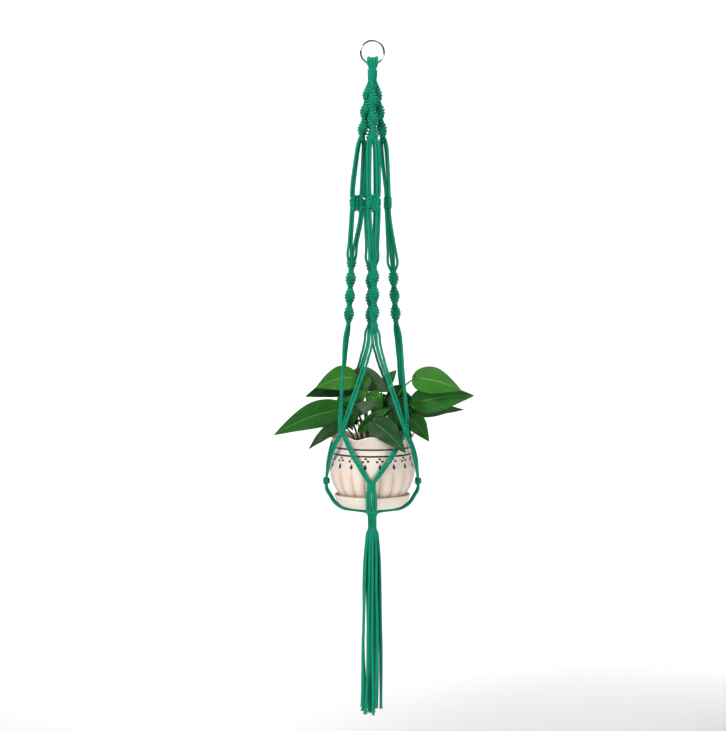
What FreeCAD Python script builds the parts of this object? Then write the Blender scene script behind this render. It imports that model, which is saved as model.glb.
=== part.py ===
"""Hanging macrame planter: a steel ring, a knotted cotton cord hanger, a pot in its saucer and a plant.

Millimetres. The origin is the centre of the ring, +Z is up and the ring's hole runs along +Y.
Each of the four legs is laid out with its own outward direction, then turned to its place about Z.
"""
import FreeCAD, Part
import math
import os

import Sketcher

os.makedirs("parts", exist_ok=True)
doc = FreeCAD.newDocument("macrame_planter")
V = FreeCAD.Vector
Z_AXIS = V(0, 0, 1)

# ---------------------------------------------------------------- driving dimensions
DIMENSIONS = {
    # ring
    "ring_radius": 17.9,            # centre line of the wire
    "ring_wire": 3.0,
    # the solid that stands for a 4.2 mm strand, thinner so that it clears its neighbours
    "strand_solid": 3.4,
    "strand_spacing": 4.4,
    "tassel_solid": 3.6,
    "cord_clearance": 0.3,
    # folds over the ring and the wrap under them
    "fold_outer": 10.2,
    "fold_width": 18.0,
    "fold_drop": 6.1,
    "bore_clearance": 0.4,
    "bore_play": 1.3,
    "wrap_radius": 7.4,
    "top_wrap_length": 18.5,
    "neck_radius": 7.0,
    "neck_below_wrap": 3.0,
    "neck_depth": 2.0,
    # spiral sinnets: half knots, each turned on from the one above
    "knot_wide": 16.4,
    "knot_narrow": 8.8,
    "half_knot": 4.5,
    "half_knot_turn": 30.0,
    "upper_half_knots": 19,
    "upper_top_out": 5.5,
    "upper_end_out": 16.5,
    "lower_top_out": 32.0,
    "lower_end_out": 37.0,
    "lower_knot_wide": 15.6,
    "lower_knot_narrow": 7.6,
    # flat woven knots
    "flat_knot_z": -231.0,
    "flat_knot_out": 23.8,
    "flat_knot_width": 26.0,
    "flat_knot_height": 25.0,
    "flat_knot_depth": 9.0,
    "flat_knot_round": 3.5,
    # corner knots over the rim and lower knots on the belly
    "corner_beyond_rim": 3.8,
    "corner_above_rim": 9.0,
    "lower_beyond_belly": 4.7,
    "lower_z": -661.0,
    "net_beyond_belly": 3.3,
    "net_knot_width": 14.0,
    "net_knot_height": 9.6,
    "net_knot_depth": 7.6,
    "net_knot_round": 2.8,
    # wrap under the saucer
    "bottom_wrap_z": -710.0,
    "bottom_wrap_radius": 6.8,
    "bottom_wrap_length": 27.0,
    "bottom_flare_out": 10.5,
    "bottom_flare_depth": 4.0,
    # pot, heights above its own base
    "pot_base_z": -698.2,
    "pot_wall": 3.5,
    "pot_base_radius": 40.0,
    "pot_low_radius": 52.5,
    "pot_low_height": 17.0,
    "pot_flank_radius": 63.0,
    "pot_flank_height": 36.0,
    "pot_belly_radius": 66.7,
    "pot_belly_height": 52.0,
    "pot_shoulder_radius": 63.4,
    "pot_shoulder_height": 70.0,
    "pot_neck_radius": 60.0,
    "pot_neck_height": 85.0,
    "pot_rim_radius": 65.0,
    "pot_height": 110.2,
    "scallop_depth": 5.0,
    "scallop_radius": 46.0,
    # saucer, heights above its own underside
    "saucer_z": -701.2,
    "saucer_foot": 42.0,
    "saucer_side": 53.6,
    "saucer_side_height": 7.5,
    "saucer_rim": 59.6,
    "saucer_height": 19.5,
    "saucer_wall": 2.7,
    # soil
    "soil_top_radius": 55.0,
    "soil_base_radius": 35.6,
    "soil_depth": 94.0,
    # leaves
    "leaf_thickness": 1.0,
    "stalk_diameter": 2.4,
}

sizes = doc.addObject("Spreadsheet::Sheet", "Sizes")
for row, (alias, value) in enumerate(DIMENSIONS.items(), start=1):
    sizes.set("A%d" % row, alias)
    sizes.set("B%d" % row, str(value))
    sizes.setAlias("B%d" % row, alias)
doc.recompute()


def size(alias):
    """The value of one cell of the sheet."""
    return float(sizes.get(alias))


LEGS = ("right", "back", "left", "front")
CORNERS = ("back_right", "back_left", "front_left", "front_right")
LEG_YAW = 4.5                   # the whole hanger is turned a little in its ring
CORNER_YAW = 2.4
LOWER_YAW = -1.5
# Each leg's flat knot turns about the leg's own line; 90 is edge on to the hanger's axis.
KNOT_TURN = {"right": 0.0, "back": 8.0, "left": -64.0, "front": 4.0}
# Height of the top of each lower spiral, and how many half knots it has.
LOWER_SPIRAL = {"right": (-331.0, 19), "back": (-323.0, 22), "left": (-318.0, 22), "front": (-323.0, 22)}

nodes = []


def keep(thing, label):
    """Name a sub-part and list it for export."""
    thing.Label = label
    nodes.append(thing)
    return thing


def bind(thing, **expressions):
    """Tie properties of a primitive to cells of the sheet."""
    for name, expression in expressions.items():
        thing.setExpression(name, expression)
    return thing


def feature(label, shape, angle=0.0):
    """A sub-part whose shape is worked out from the sheet's values, turned about Z to its leg."""
    thing = doc.addObject("Part::Feature", label)
    thing.Shape = shape
    thing.Placement = FreeCAD.Placement(V(0, 0, 0), FreeCAD.Rotation(Z_AXIS, angle))
    return keep(thing, label)


def leg_angle(leg):
    return LEG_YAW + 90.0 * LEGS.index(leg)


def polar(out, across, height, angle):
    """A point given outwards, across and up, in a frame turned by angle about Z."""
    turn = math.radians(angle)
    return V(out * math.cos(turn) - across * math.sin(turn), out * math.sin(turn) + across * math.cos(turn), height)


# ---------------------------------------------------------------- ring, folds, top wrap
ring = keep(bind(doc.addObject("Part::Torus", "ring"), Radius1="Sizes.ring_radius",
                 Radius2="Sizes.ring_wire / 2"), "ring")
ring.Placement = FreeCAD.Placement(V(0, 0, 0), FreeCAD.Rotation(V(1, 0, 0), 90))

wire_z = -size("ring_radius")
fold_bottom = wire_z - size("fold_drop")
saddle = bind(doc.addObject("Part::Cylinder", "fold_saddle"), Radius="Sizes.fold_outer", Height="Sizes.fold_width")
saddle.Placement = FreeCAD.Placement(V(-size("fold_width") / 2, 0, wire_z), FreeCAD.Rotation(V(0, 1, 0), 90))
above_wrap = bind(doc.addObject("Part::Box", "fold_room"), Length="Sizes.fold_width * 2",
                  Width="Sizes.fold_outer * 4", Height="Sizes.fold_outer * 2 + Sizes.fold_drop")
above_wrap.Placement.Base = V(-size("fold_width"), -2 * size("fold_outer"), fold_bottom)
folds_whole = doc.addObject("Part::Common", "folds_whole")
folds_whole.Base, folds_whole.Tool = saddle, above_wrap
# The wire rolls in the folds, and away from its lowest point it also moves across them.
bores = []
for across in (-1, 0, 1):
    bore = bind(doc.addObject("Part::Torus", "fold_bore"), Radius1="Sizes.ring_radius",
                Radius2="Sizes.ring_wire / 2 + Sizes.bore_clearance")
    bore.Placement = FreeCAD.Placement(V(0, across * size("bore_play"), 0), FreeCAD.Rotation(V(1, 0, 0), 90))
    bores.append(bore)
bore_fan = doc.addObject("Part::MultiFuse", "fold_bore_fan")
bore_fan.Shapes = bores
folds = doc.addObject("Part::Cut", "ring_folds")
folds.Base, folds.Tool = folds_whole, bore_fan
keep(folds, "ring_folds")

wrap_bottom = fold_bottom - size("top_wrap_length")
sway_z = wrap_bottom - size("neck_below_wrap")          # the legs sway about this point
neck_bottom = sway_z - size("neck_depth")
wrap_drum = bind(doc.addObject("Part::Cylinder", "wrap_drum"), Radius="Sizes.wrap_radius",
                 Height="Sizes.top_wrap_length")
wrap_drum.Placement.Base = V(0, 0, wrap_bottom)
wrap_socket = bind(doc.addObject("Part::Sphere", "wrap_socket"), Radius="Sizes.neck_radius + Sizes.cord_clearance")
wrap_socket.Placement.Base = V(0, 0, sway_z)
top_wrap = doc.addObject("Part::Cut", "top_wrap")
top_wrap.Base, top_wrap.Tool = wrap_drum, wrap_socket
keep(top_wrap, "top_wrap")

neck_ball = bind(doc.addObject("Part::Sphere", "neck_ball"), Radius="Sizes.neck_radius")
neck_ball.Placement.Base = V(0, 0, sway_z)
neck_room = bind(doc.addObject("Part::Cylinder", "neck_room"), Radius="Sizes.neck_radius * 2",
                 Height="Sizes.neck_radius * 2")
neck_room.Placement.Base = V(0, 0, neck_bottom)
neck = doc.addObject("Part::Common", "leg_neck")
neck.Base, neck.Tool = neck_ball, neck_room
keep(neck, "leg_neck")


# ---------------------------------------------------------------- spiral sinnets
def spiral(top, end, half_knots, wide, narrow, first_turn):
    """Half knots stacked from top to end (out, height pairs), each one turned on from the last."""
    (top_out, top_z), (end_out, end_z) = top, end
    step = (top_z - end_z) / half_knots
    stack = []
    for index in range(half_knots):
        share = (index + 0.5) / half_knots
        centre = V(top_out + (end_out - top_out) * share, 0, top_z - step * (index + 1))
        oval = Part.Ellipse(V(0, 0, 0), wide / 2, narrow / 2)
        disc = Part.Face(Part.Wire(oval.toShape())).extrude(V(0, 0, step))
        disc.rotate(V(0, 0, 0), Z_AXIS, first_turn + index * size("half_knot_turn"))
        disc.translate(centre)
        stack.append(disc)
    return stack[0].fuse(stack[1:]).removeSplitter()


def quarter(top_z, end_z):
    """The room of one leg beside its neighbours near the axis, a little inside a right angle."""
    reach = 3 * size("knot_wide")
    gap = size("cord_clearance") * math.sqrt(0.5)
    outline = Part.makePolygon([V(gap, 0, end_z), V(reach, gap - reach, end_z), V(reach, reach - gap, end_z),
                                V(gap, 0, end_z)])
    return Part.Face(outline).extrude(V(0, 0, top_z - end_z))


upper_end = neck_bottom - size("upper_half_knots") * size("half_knot")
for leg in LEGS:
    # the last half knot lies across the leg, in line with the flat knot's strands
    first = 90.0 - (size("upper_half_knots") - 1) * size("half_knot_turn")
    shape = spiral((size("upper_top_out"), neck_bottom), (size("upper_end_out"), upper_end),
                   int(size("upper_half_knots")), size("knot_wide"), size("knot_narrow"), first)
    shape = shape.common(quarter(neck_bottom, upper_end))
    feature("upper_spiral_" + leg, shape, leg_angle(leg))

lower_end = {}
for leg in LEGS:
    top_z, half_knots = LOWER_SPIRAL[leg]
    lower_end[leg] = top_z - half_knots * size("half_knot")
    shape = spiral((size("lower_top_out"), top_z), (size("lower_end_out"), lower_end[leg]), half_knots,
                   size("lower_knot_wide"), size("lower_knot_narrow"), 90.0 + KNOT_TURN[leg])
    feature("lower_spiral_" + leg, shape, leg_angle(leg))


# ---------------------------------------------------------------- where the net lies on the pot
rim_z = size("pot_base_z") + size("pot_height")
corner_out = size("pot_rim_radius") + size("corner_beyond_rim")
corner_z = rim_z + size("corner_above_rim")
lower_out = size("pot_belly_radius") + size("lower_beyond_belly")
net_out = size("pot_belly_radius") + size("net_beyond_belly")


# ---------------------------------------------------------------- knots as rounded blocks
def knot_block(label, prefix, out, height, angle, turn=0.0):
    """A rounded block: width across, depth outwards; turned about its own upright line."""
    block = bind(doc.addObject("Part::Box", label + "_block"), Length="Sizes.%s_depth" % prefix,
                 Width="Sizes.%s_width" % prefix, Height="Sizes.%s_height" % prefix)
    doc.recompute()
    rounded = doc.addObject("Part::Fillet", label)
    rounded.Base = block
    radius = size(prefix + "_round")
    rounded.Edges = [(index + 1, radius, radius) for index in range(len(block.Shape.Edges))]
    centre = V(-size(prefix + "_depth") / 2, -size(prefix + "_width") / 2, -size(prefix + "_height") / 2)
    there = FreeCAD.Placement(polar(out, 0, height, angle), FreeCAD.Rotation(Z_AXIS, angle + turn))
    rounded.Placement = there * FreeCAD.Placement(centre, FreeCAD.Rotation())
    return keep(rounded, label)


for leg in LEGS:
    knot_block("flat_knot_" + leg, "flat_knot", size("flat_knot_out"), size("flat_knot_z"), leg_angle(leg),
               KNOT_TURN[leg])
corner_angle = {name: CORNER_YAW + 45.0 + 90.0 * index for index, name in enumerate(CORNERS)}
lower_angle = {leg: LOWER_YAW + 90.0 * index for index, leg in enumerate(LEGS)}
for name in CORNERS:
    knot_block("corner_knot_" + name, "net_knot", corner_out, corner_z, corner_angle[name])
for leg in LEGS:
    knot_block("lower_knot_" + leg, "net_knot", lower_out, size("lower_z"), lower_angle[leg])

# ---------------------------------------------------------------- cords
radii = {}


def cord_path(points, name):
    """Straight runs joined by tangent arcs, each arc as large as its two runs allow."""
    edges = []
    start = points[0]
    for before, corner, after in zip(points, points[1:], points[2:]):
        back, on = before - corner, after - corner
        cut = 0.45 * min(back.Length, on.Length)
        back.normalize()
        on.normalize()
        half_turn = (math.pi - back.getAngle(on)) / 2
        radius = cut / math.tan(half_turn)
        radii.setdefault(name, []).append(radius)
        first, last = corner + back * cut, corner + on * cut
        inward = back + on
        inward.normalize()
        middle = corner + inward * (radius / math.cos(half_turn) - radius)
        edges.append(Part.LineSegment(start, first).toShape())
        edges.append(Part.Arc(first, middle, last).toShape())
        start = last
    edges.append(Part.LineSegment(start, points[-1]).toShape())
    return Part.Wire(edges)


def cord(points, diameter, name):
    """A round cord along its route."""
    path = cord_path(points, name)
    heading = points[1] - points[0]
    section = Part.Wire([Part.Circle(points[0], heading, diameter / 2).toShape()])
    solid = path.makePipeShell([section], True, False)
    expected = math.pi * diameter ** 2 / 4 * path.Length
    if abs(solid.Volume - expected) > 0.01 * expected:
        raise ValueError("cord %s: volume %.1f, expected %.1f" % (name, solid.Volume, expected))
    return solid


def straight(start, end, shorten_start, shorten_end, diameter):
    """A taut strand between two knots, standing clear of each by the given length."""
    heading = (end - start).normalize()
    first, last = start + heading * shorten_start, end - heading * shorten_end
    return Part.makeCylinder(diameter / 2, (last - first).Length, first, heading)


strand = size("strand_solid")
spacing = size("strand_spacing")
clear = size("cord_clearance")
ROW = (-1.5, -0.5, 0.5, 1.5)            # four strands side by side, in spacings
PAIRS = (-2.4, -1.4, 1.4, 2.4)          # the same four as two pairs at a flat knot's edges


def row_point(leg, out, height, offset, turn):
    """A strand's point beside the leg's line, offset along the line of strands."""
    lean = math.radians(90.0 + turn)
    return polar(out + offset * math.cos(lean), offset * math.sin(lean), height, leg_angle(leg))


def group(solids):
    return Part.makeCompound(solids)


upper, middle = [], []
flat_top = size("flat_knot_z") + size("flat_knot_height") / 2
flat_bottom = size("flat_knot_z") - size("flat_knot_height") / 2
END_TILT = 0.5                          # a leaning strand's square end stands this much clear
for leg in LEGS:
    turn = KNOT_TURN[leg]
    twist = turn / 3                    # the row has turned this far where it leaves the spiral
    for near, far in zip(ROW, PAIRS):
        top = row_point(leg, size("upper_end_out"), upper_end, near * spacing, twist)
        knot_in = row_point(leg, size("flat_knot_out"), flat_top, far * spacing, turn)
        upper.append(straight(top, knot_in, END_TILT, END_TILT, strand))
        knot_out = row_point(leg, size("flat_knot_out"), flat_bottom, far * spacing, turn)
        gather = row_point(leg, size("lower_top_out"), LOWER_SPIRAL[leg][0], near * spacing, turn)
        middle.append(straight(knot_out, gather, END_TILT, END_TILT + clear, strand))
feature("upper_cords", group(upper))
feature("middle_cords", group(middle))

corner_top = corner_z + size("net_knot_height") / 2
corner_bottom = corner_z - size("net_knot_height") / 2
lower_top = size("lower_z") + size("net_knot_height") / 2
lower_bottom = size("lower_z") - size("net_knot_height") / 2


def corner_of(leg, side):
    """The corner knot on one side of a leg: 1 is anticlockwise from above."""
    return CORNERS[(LEGS.index(leg) + (0 if side > 0 else -1)) % len(CORNERS)]


cradle, net, base = [], [], []
NET_RUNS = 5
for leg in LEGS:
    for side in (-1, 1):
        name = corner_of(leg, side)
        for place in (0.5, 1.5):
            # the strand nearest the leg's middle goes to the far place in the corner's row
            near_leg = side * place * spacing
            at_corner = -side * (2.0 - place) * spacing
            start = polar(size("lower_end_out"), near_leg, lower_end[leg], leg_angle(leg))
            end = polar(corner_out, at_corner, corner_top, corner_angle[name])
            cradle.append(straight(start, end, 1.0, 0.9, strand))
            low_start = polar(corner_out, at_corner, corner_bottom - 0.9, corner_angle[name])
            low_end = polar(lower_out, near_leg, lower_top + 1.2, lower_angle[leg])
            a_start = math.degrees(math.atan2(low_start.y, low_start.x))
            a_end = math.degrees(math.atan2(low_end.y, low_end.x))
            a_end += 360.0 * round((a_start - a_end) / 360.0)
            route = [low_start]
            for run in range(1, NET_RUNS):
                share = run / NET_RUNS
                route.append(polar(net_out, 0, low_start.z + (low_end.z - low_start.z) * share,
                                   a_start + (a_end - a_start) * share))
            route.append(low_end)
            net.append(cord(route, strand, "net"))
feature("cradle_cords", group(cradle))
feature("net_cords", group(net))

# Out and height of a base strand: off the lower knot, round the saucer's rim, under it, to the wrap.
saucer_rim_z = size("saucer_z") + size("saucer_height")
flare_z = size("bottom_wrap_z")
BASE_ROUTE = (
    (lower_out - 0.6, lower_bottom - 0.6),
    (lower_out - 2.6, saucer_rim_z + 8.0),
    (size("saucer_rim") + 3.8, saucer_rim_z - 1.5),
    (size("saucer_side") + 3.6, size("saucer_z") + 6.0),
    (size("saucer_foot") + 4.4, size("saucer_z") - 1.4),
    (size("saucer_foot") - 8.0, size("saucer_z") - 4.4),
    (size("bottom_flare_out") + 10.0, flare_z + 3.4),
    (size("bottom_flare_out") + 1.2, flare_z - 0.6),
)
SQUEEZE = (1.0, 1.0, 1.0, 1.0, 0.98, 0.95, 0.92, 0.9)
for leg in LEGS:
    for offset in ROW:
        route = [polar(out, offset * spacing * squeeze, height, lower_angle[leg])
                 for (out, height), squeeze in zip(BASE_ROUTE, SQUEEZE)]
        base.append(cord(route, strand, "base"))
feature("base_cords", group(base))

# ---------------------------------------------------------------- bottom wrap
tassel_z = flare_z - size("bottom_wrap_length")          # the tassel swings about this point
wrap_body = bind(doc.addObject("Part::Cylinder", "wrap_body"), Radius="Sizes.bottom_wrap_radius",
                 Height="Sizes.bottom_wrap_length")
wrap_body.Placement.Base = V(0, 0, tassel_z)
wrap_flare = bind(doc.addObject("Part::Cone", "wrap_flare"), Radius1="Sizes.bottom_wrap_radius",
                  Radius2="Sizes.bottom_flare_out", Height="Sizes.bottom_flare_depth")
wrap_flare.Placement.Base = V(0, 0, flare_z - size("bottom_flare_depth"))
wrap_end = bind(doc.addObject("Part::Sphere", "wrap_end"), Radius="Sizes.bottom_wrap_radius")
wrap_end.Placement.Base = V(0, 0, tassel_z)
bottom_wrap = doc.addObject("Part::MultiFuse", "bottom_wrap")
bottom_wrap.Shapes = [wrap_body, wrap_flare, wrap_end]
keep(bottom_wrap, "bottom_wrap")


# ---------------------------------------------------------------- pot, saucer, soil
def turned(label, outline, base_z):
    """A body turned about its upright axis; outline is pairs of expressions, radius and height."""
    body = doc.addObject("PartDesign::Body", label)
    sketch = body.newObject("Sketcher::SketchObject", label + "_outline")
    plane = next(f for f in body.Origin.OriginFeatures if f.Role == "XZ_Plane")
    sketch.AttachmentSupport = (plane, "")
    sketch.MapMode = "FlatFace"
    doc.recompute()
    helper = doc.addObject("App::FeaturePython", label + "_values")
    points = []
    for index, pair in enumerate(outline):
        for axis_name, expression in zip("RH", pair):
            name = "%s%d" % (axis_name, index)
            helper.addProperty("App::PropertyFloat", name)
            helper.setExpression(name, expression)
    doc.recompute()
    for index in range(len(outline)):
        points.append(V(getattr(helper, "R%d" % index), getattr(helper, "H%d" % index), 0))
    for here, there in zip(points, points[1:] + points[:1]):
        sketch.addGeometry(Part.LineSegment(here, there), False)
    count = len(points)
    for index in range(count):
        sketch.addConstraint(Sketcher.Constraint("Coincident", index, 2, (index + 1) % count, 1))
    for index, point in enumerate(points):
        across = sketch.addConstraint(Sketcher.Constraint("DistanceX", -1, 1, index, 1, point.x))
        sketch.setExpression("Constraints[%d]" % across, outline[index][0])
        up = sketch.addConstraint(Sketcher.Constraint("DistanceY", -1, 1, index, 1, point.y))
        sketch.setExpression("Constraints[%d]" % up, outline[index][1])
    doc.removeObject(helper.Name)
    turning = body.newObject("PartDesign::Revolution", label + "_turning")
    turning.Profile = sketch
    turning.ReferenceAxis = (sketch, ["V_Axis"])
    turning.Angle = 360.0
    body.Placement = FreeCAD.Placement(V(0, 0, base_z), FreeCAD.Rotation())
    doc.recompute()
    return body


POT_OUTLINE = (
    ("0", "0"),
    ("Sizes.pot_base_radius", "0"),
    ("Sizes.pot_low_radius", "Sizes.pot_low_height"),
    ("Sizes.pot_flank_radius", "Sizes.pot_flank_height"),
    ("Sizes.pot_belly_radius", "Sizes.pot_belly_height"),
    ("Sizes.pot_shoulder_radius", "Sizes.pot_shoulder_height"),
    ("Sizes.pot_neck_radius", "Sizes.pot_neck_height"),
    ("Sizes.pot_rim_radius", "Sizes.pot_height"),
    ("Sizes.pot_rim_radius - Sizes.pot_wall", "Sizes.pot_height"),
    ("Sizes.pot_neck_radius - Sizes.pot_wall", "Sizes.pot_neck_height"),
    ("Sizes.pot_shoulder_radius - Sizes.pot_wall", "Sizes.pot_shoulder_height"),
    ("Sizes.pot_belly_radius - Sizes.pot_wall", "Sizes.pot_belly_height"),
    ("Sizes.pot_flank_radius - Sizes.pot_wall", "Sizes.pot_flank_height"),
    ("Sizes.pot_low_radius - Sizes.pot_wall", "Sizes.pot_low_height"),
    ("Sizes.pot_base_radius - Sizes.pot_wall / 2", "Sizes.pot_wall"),
    ("0", "Sizes.pot_wall"),
)
pot_turned = turned("pot_turned", POT_OUTLINE, size("pot_base_z"))
# Eight shallow scallops leave eight peaks round the rim.
SCALLOPS = 8
rim_z = size("pot_base_z") + size("pot_height")
dips = []
for index in range(SCALLOPS):
    dip = bind(doc.addObject("Part::Cylinder", "rim_dip"), Radius="Sizes.scallop_radius",
               Height="Sizes.pot_rim_radius * 1.2")
    angle = 360.0 / SCALLOPS * (index + 0.5)
    lie = FreeCAD.Rotation(Z_AXIS, angle) * FreeCAD.Rotation(V(0, 1, 0), 90)
    dip.Placement = FreeCAD.Placement(V(0, 0, rim_z + size("scallop_radius") - size("scallop_depth")), lie)
    dips.append(dip)
all_dips = doc.addObject("Part::Compound", "rim_dips")
all_dips.Links = dips
pot = doc.addObject("Part::Cut", "pot")
pot.Base, pot.Tool = pot_turned, all_dips
keep(pot, "pot")

SAUCER_OUTLINE = (
    ("0", "0"),
    ("Sizes.saucer_foot", "0"),
    ("Sizes.saucer_side", "Sizes.saucer_side_height"),
    ("Sizes.saucer_rim", "Sizes.saucer_height"),
    ("Sizes.saucer_rim - Sizes.saucer_wall", "Sizes.saucer_height"),
    ("Sizes.saucer_side - Sizes.saucer_wall", "Sizes.saucer_side_height + Sizes.saucer_wall / 2"),
    ("Sizes.saucer_foot", "Sizes.saucer_wall"),
    ("0", "Sizes.saucer_wall"),
)
keep(turned("saucer", SAUCER_OUTLINE, size("saucer_z")), "saucer")

soil_base_z = size("pot_base_z") + size("pot_wall") + clear
soil = keep(bind(doc.addObject("Part::Cone", "soil"), Radius1="Sizes.soil_base_radius",
                 Radius2="Sizes.soil_top_radius", Height="Sizes.soil_depth"), "soil")
soil.Placement.Base = V(0, 0, soil_base_z)
soil_z = soil_base_z + size("soil_depth")

# ---------------------------------------------------------------- plant
# Blade: (base), (tip), greatest width, roll about its length; root: where the stalk leaves the soil.
LEAVES = {
    "leaf_left_long": [((-47, -8, 39), (-152, -16, 0), 38, 8, (-20, -8))],
    "leaf_left_low": [((-50, -26, 15), (-98, -32, -20), 20, 30, (-24, -20))],
    "leaves_upper_left": [((-34, 14, 75), (-104, 12, 57), 30, -12, (-14, 12)),
                          ((-32, 3, 84), (-88, 2, 76), 34, 14, (-8, 4))],
    "leaf_centre_tall": [((-30, 20, 90), (29, 14, 64), 38, 12, (-4, 22))],
    "leaf_back_small": [((18, 25, 74), (38, 26, 98), 18, 0, (8, 22))],
    "leaf_right_high": [((66, -12, 88), (138, -14, 68), 42, 10, (18, -6))],
    "leaf_right_long": [((64, 2, 48), (158, -2, 60), 38, -14, (22, 4))],
    "leaf_right_dark": [((58, 14, 32), (143, 16, 36), 24, 30, (18, 14))],
    "leaf_right_hanging": [((62, -8, 22), (88, -12, -10), 24, 0, (30, -6))],
    "leaf_front_low": [((8, -46, 26), (44, -76, -18), 26, -10, (4, -42))],
    "leaves_centre": [((-19, -40, 8), (30, -30, 44), 16, 0, (-14, -30)),
                      ((-32, -18, 32), (15, -16, 50), 18, -20, (-4, -14)),
                      ((-34, -4, 46), (-6, -2, 68), 20, 10, (-6, -4))],
}


def blade(base, tip, width, roll):
    """A flat leaf with a rounded base and a drawn-out tip."""
    along = tip - base
    length = along.Length
    along.normalize()
    across = along.cross(V(0, -1, 0)).normalize()
    across = FreeCAD.Rotation(along, roll).multVec(across)
    face_out = along.cross(across).normalize()

    def at(share, side):
        return base + along * (length * share) + across * (width * side)

    halves = []
    for side in (1, -1):
        edge = Part.BSplineCurve()
        edge.interpolate([at(0, 0), at(0.1, 0.34 * side), at(0.32, 0.5 * side), at(0.62, 0.33 * side),
                          at(0.85, 0.11 * side), at(1, 0)])
        halves.append(edge.toShape())
    face = Part.Face(Part.Wire(Part.__sortEdges__(halves)))
    thickness = size("leaf_thickness")
    face.translate(face_out * (-thickness / 2))
    return face.extrude(face_out * thickness), along


def leaf(base, tip, width, roll, root):
    """A blade with its stalk, from the soil up to the blade and a little way along it."""
    base, tip = V(*base) + V(0, 0, rim_z), V(*tip) + V(0, 0, rim_z)
    plate, along = blade(base, tip, width, roll)
    foot = V(root[0], root[1], soil_z + 3 * clear)
    rise = V(root[0] + (base.x - root[0]) * 0.35, root[1] + (base.y - root[1]) * 0.35,
             foot.z + (base.z - foot.z) * 0.72)
    stalk = cord([foot, rise, base + along * 6], size("stalk_diameter"), "stalk")
    return plate.fuse(stalk)


for label, blades in LEAVES.items():
    solids = [leaf(*row) for row in blades]
    feature(label, solids[0] if len(solids) == 1 else group(solids))

# ---------------------------------------------------------------- tassel
# Sixteen free strands. Each route is its points from the wrap down to the cut end.
TASSEL = {
    "tassel_strand_01": (
        (7.5, 1, -741.8), (11, 2, -768), (11.5, 2, -818), (12.5, 4, -872),
        (13, 5.5, -928), (13.5, 6, -984), (14, 8, -1019.5),
    ),
    "tassel_strand_02": (
        (6, 4.5, -741.8), (8.5, 7, -768), (8.5, 7.5, -818), (9, 10.5, -872),
        (8.5, 10.5, -928), (8.5, 13.5, -984), (7, 13.5, -1021.5),
    ),
    "tassel_strand_03": (
        (3, 7, -741.8), (4.5, 11, -768), (5.5, 11, -818), (4.5, 13, -872),
        (5, 15.5, -928), (3, 14, -984), (2.5, 15, -1027.5),
    ),
    "tassel_strand_04": (
        (-1, 7.5, -741.8), (-1, 11.5, -768), (-2, 12.5, -818), (-1, 14, -872),
        (-2.5, 14, -928), (-2, 16, -984), (-3, 14, -1020),
    ),
    "tassel_strand_05": (
        (-4.5, 6, -741.8), (-6.5, 9, -768), (-8, 11.5, -818), (-7, 13.5, -872),
        (-6, 12, -928), (-6, 14, -984), (-7, 13, -1020.5),
    ),
    "tassel_strand_06": (
        (-7, 3, -741.8), (-10.5, 4.5, -768), (-12.5, 6.5, -818), (-13, 6, -872),
        (-14.5, 7.5, -928), (-11, 10.5, -984), (-11.5, 11.5, -1031),
    ),
    "tassel_strand_07": (
        (-7.5, -1, -741.8), (-11, -1.5, -768), (-13.5, -2, -818), (-13, -1, -872),
        (-15, -3.5, -928), (-15, -1.5, -984), (-16, -0.5, -1015),
    ),
    "tassel_strand_08": (
        (-6, -4.5, -741.8), (-9, -6.5, -768), (-11.5, -7.5, -818), (-13, -8, -872),
        (-14.5, -7.5, -928), (-12, -5, -984), (-15, -5, -1020.5),
    ),
    "tassel_strand_09": (
        (-3, -7, -741.8), (-4, -10, -768), (-4.5, -10.5, -818), (-6, -11, -872),
        (-7, -14.5, -928), (-8, -11.5, -984), (-10, -14.5, -1022.5),
    ),
    "tassel_strand_10": (
        (1, -7.5, -741.8), (0.5, -11.5, -768), (0.5, -12, -818), (0, -12.5, -872),
        (0, -14, -928), (1.5, -14.5, -984), (1.5, -14.5, -1025.5),
    ),
    "tassel_strand_11": (
        (4.5, -6, -741.8), (7, -9, -768), (6, -11, -818), (8, -12, -872),
        (8.5, -13, -928), (6.5, -14, -984), (5.5, -12.5, -1013.5),
    ),
    "tassel_strand_12": (
        (7, -3, -741.8), (11, -4.5, -768), (12.5, -4.5, -818), (13, -7, -872),
        (14.5, -5.5, -928), (14, -5.5, -984), (13.5, -5.5, -1017),
    ),
    "tassel_strand_13": (
        (1.5, 2, -744.4), (2.5, 3.5, -768), (2.5, 5.5, -818), (2.5, 6.5, -872),
        (3, 3.5, -928), (2.5, 5.5, -984), (3, 5, -1013.5),
    ),
    "tassel_strand_14": (
        (-2, 1.5, -744.4), (-3, 2.5, -768), (-5, 2.5, -818), (-6, 4, -872),
        (-7.5, 5, -928), (-4, 4.5, -984), (-5, 5, -1026),
    ),
    "tassel_strand_15": (
        (-1.5, -2, -744.4), (-3, -3.5, -768), (-2.5, -4.5, -818), (-5, -4, -872),
        (-3.5, -3.5, -928), (-3, -5.5, -984), (-2.5, -6, -1024),
    ),
    "tassel_strand_16": (
        (2, -1.5, -744.4), (4, -2.5, -768), (4, -4.5, -818), (5.5, -4.5, -872),
        (4, -3.5, -928), (6, -3.5, -984), (6, -5, -1012.5),
    ),
}
for label, route in TASSEL.items():
    feature(label, cord([V(*point) for point in route], size("tassel_solid"), label))

# ---------------------------------------------------------------- checks and export
doc.recompute()
for thing in doc.Objects:
    if "Invalid" in thing.State or "Error" in thing.State:
        raise RuntimeError("%s failed to build" % thing.Label)
for thing in nodes:
    if thing.Shape.isNull() or not thing.Shape.isValid():
        raise RuntimeError("%s has no valid shape" % thing.Label)
for name in sorted(radii):
    print("smallest bend radius of %s: %.1f mm" % (name, min(radii[name])))
for thing in nodes:
    thing.Shape.exportStep("parts/%s.step" % thing.Label)
print("%d sub-parts" % len(nodes))
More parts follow.
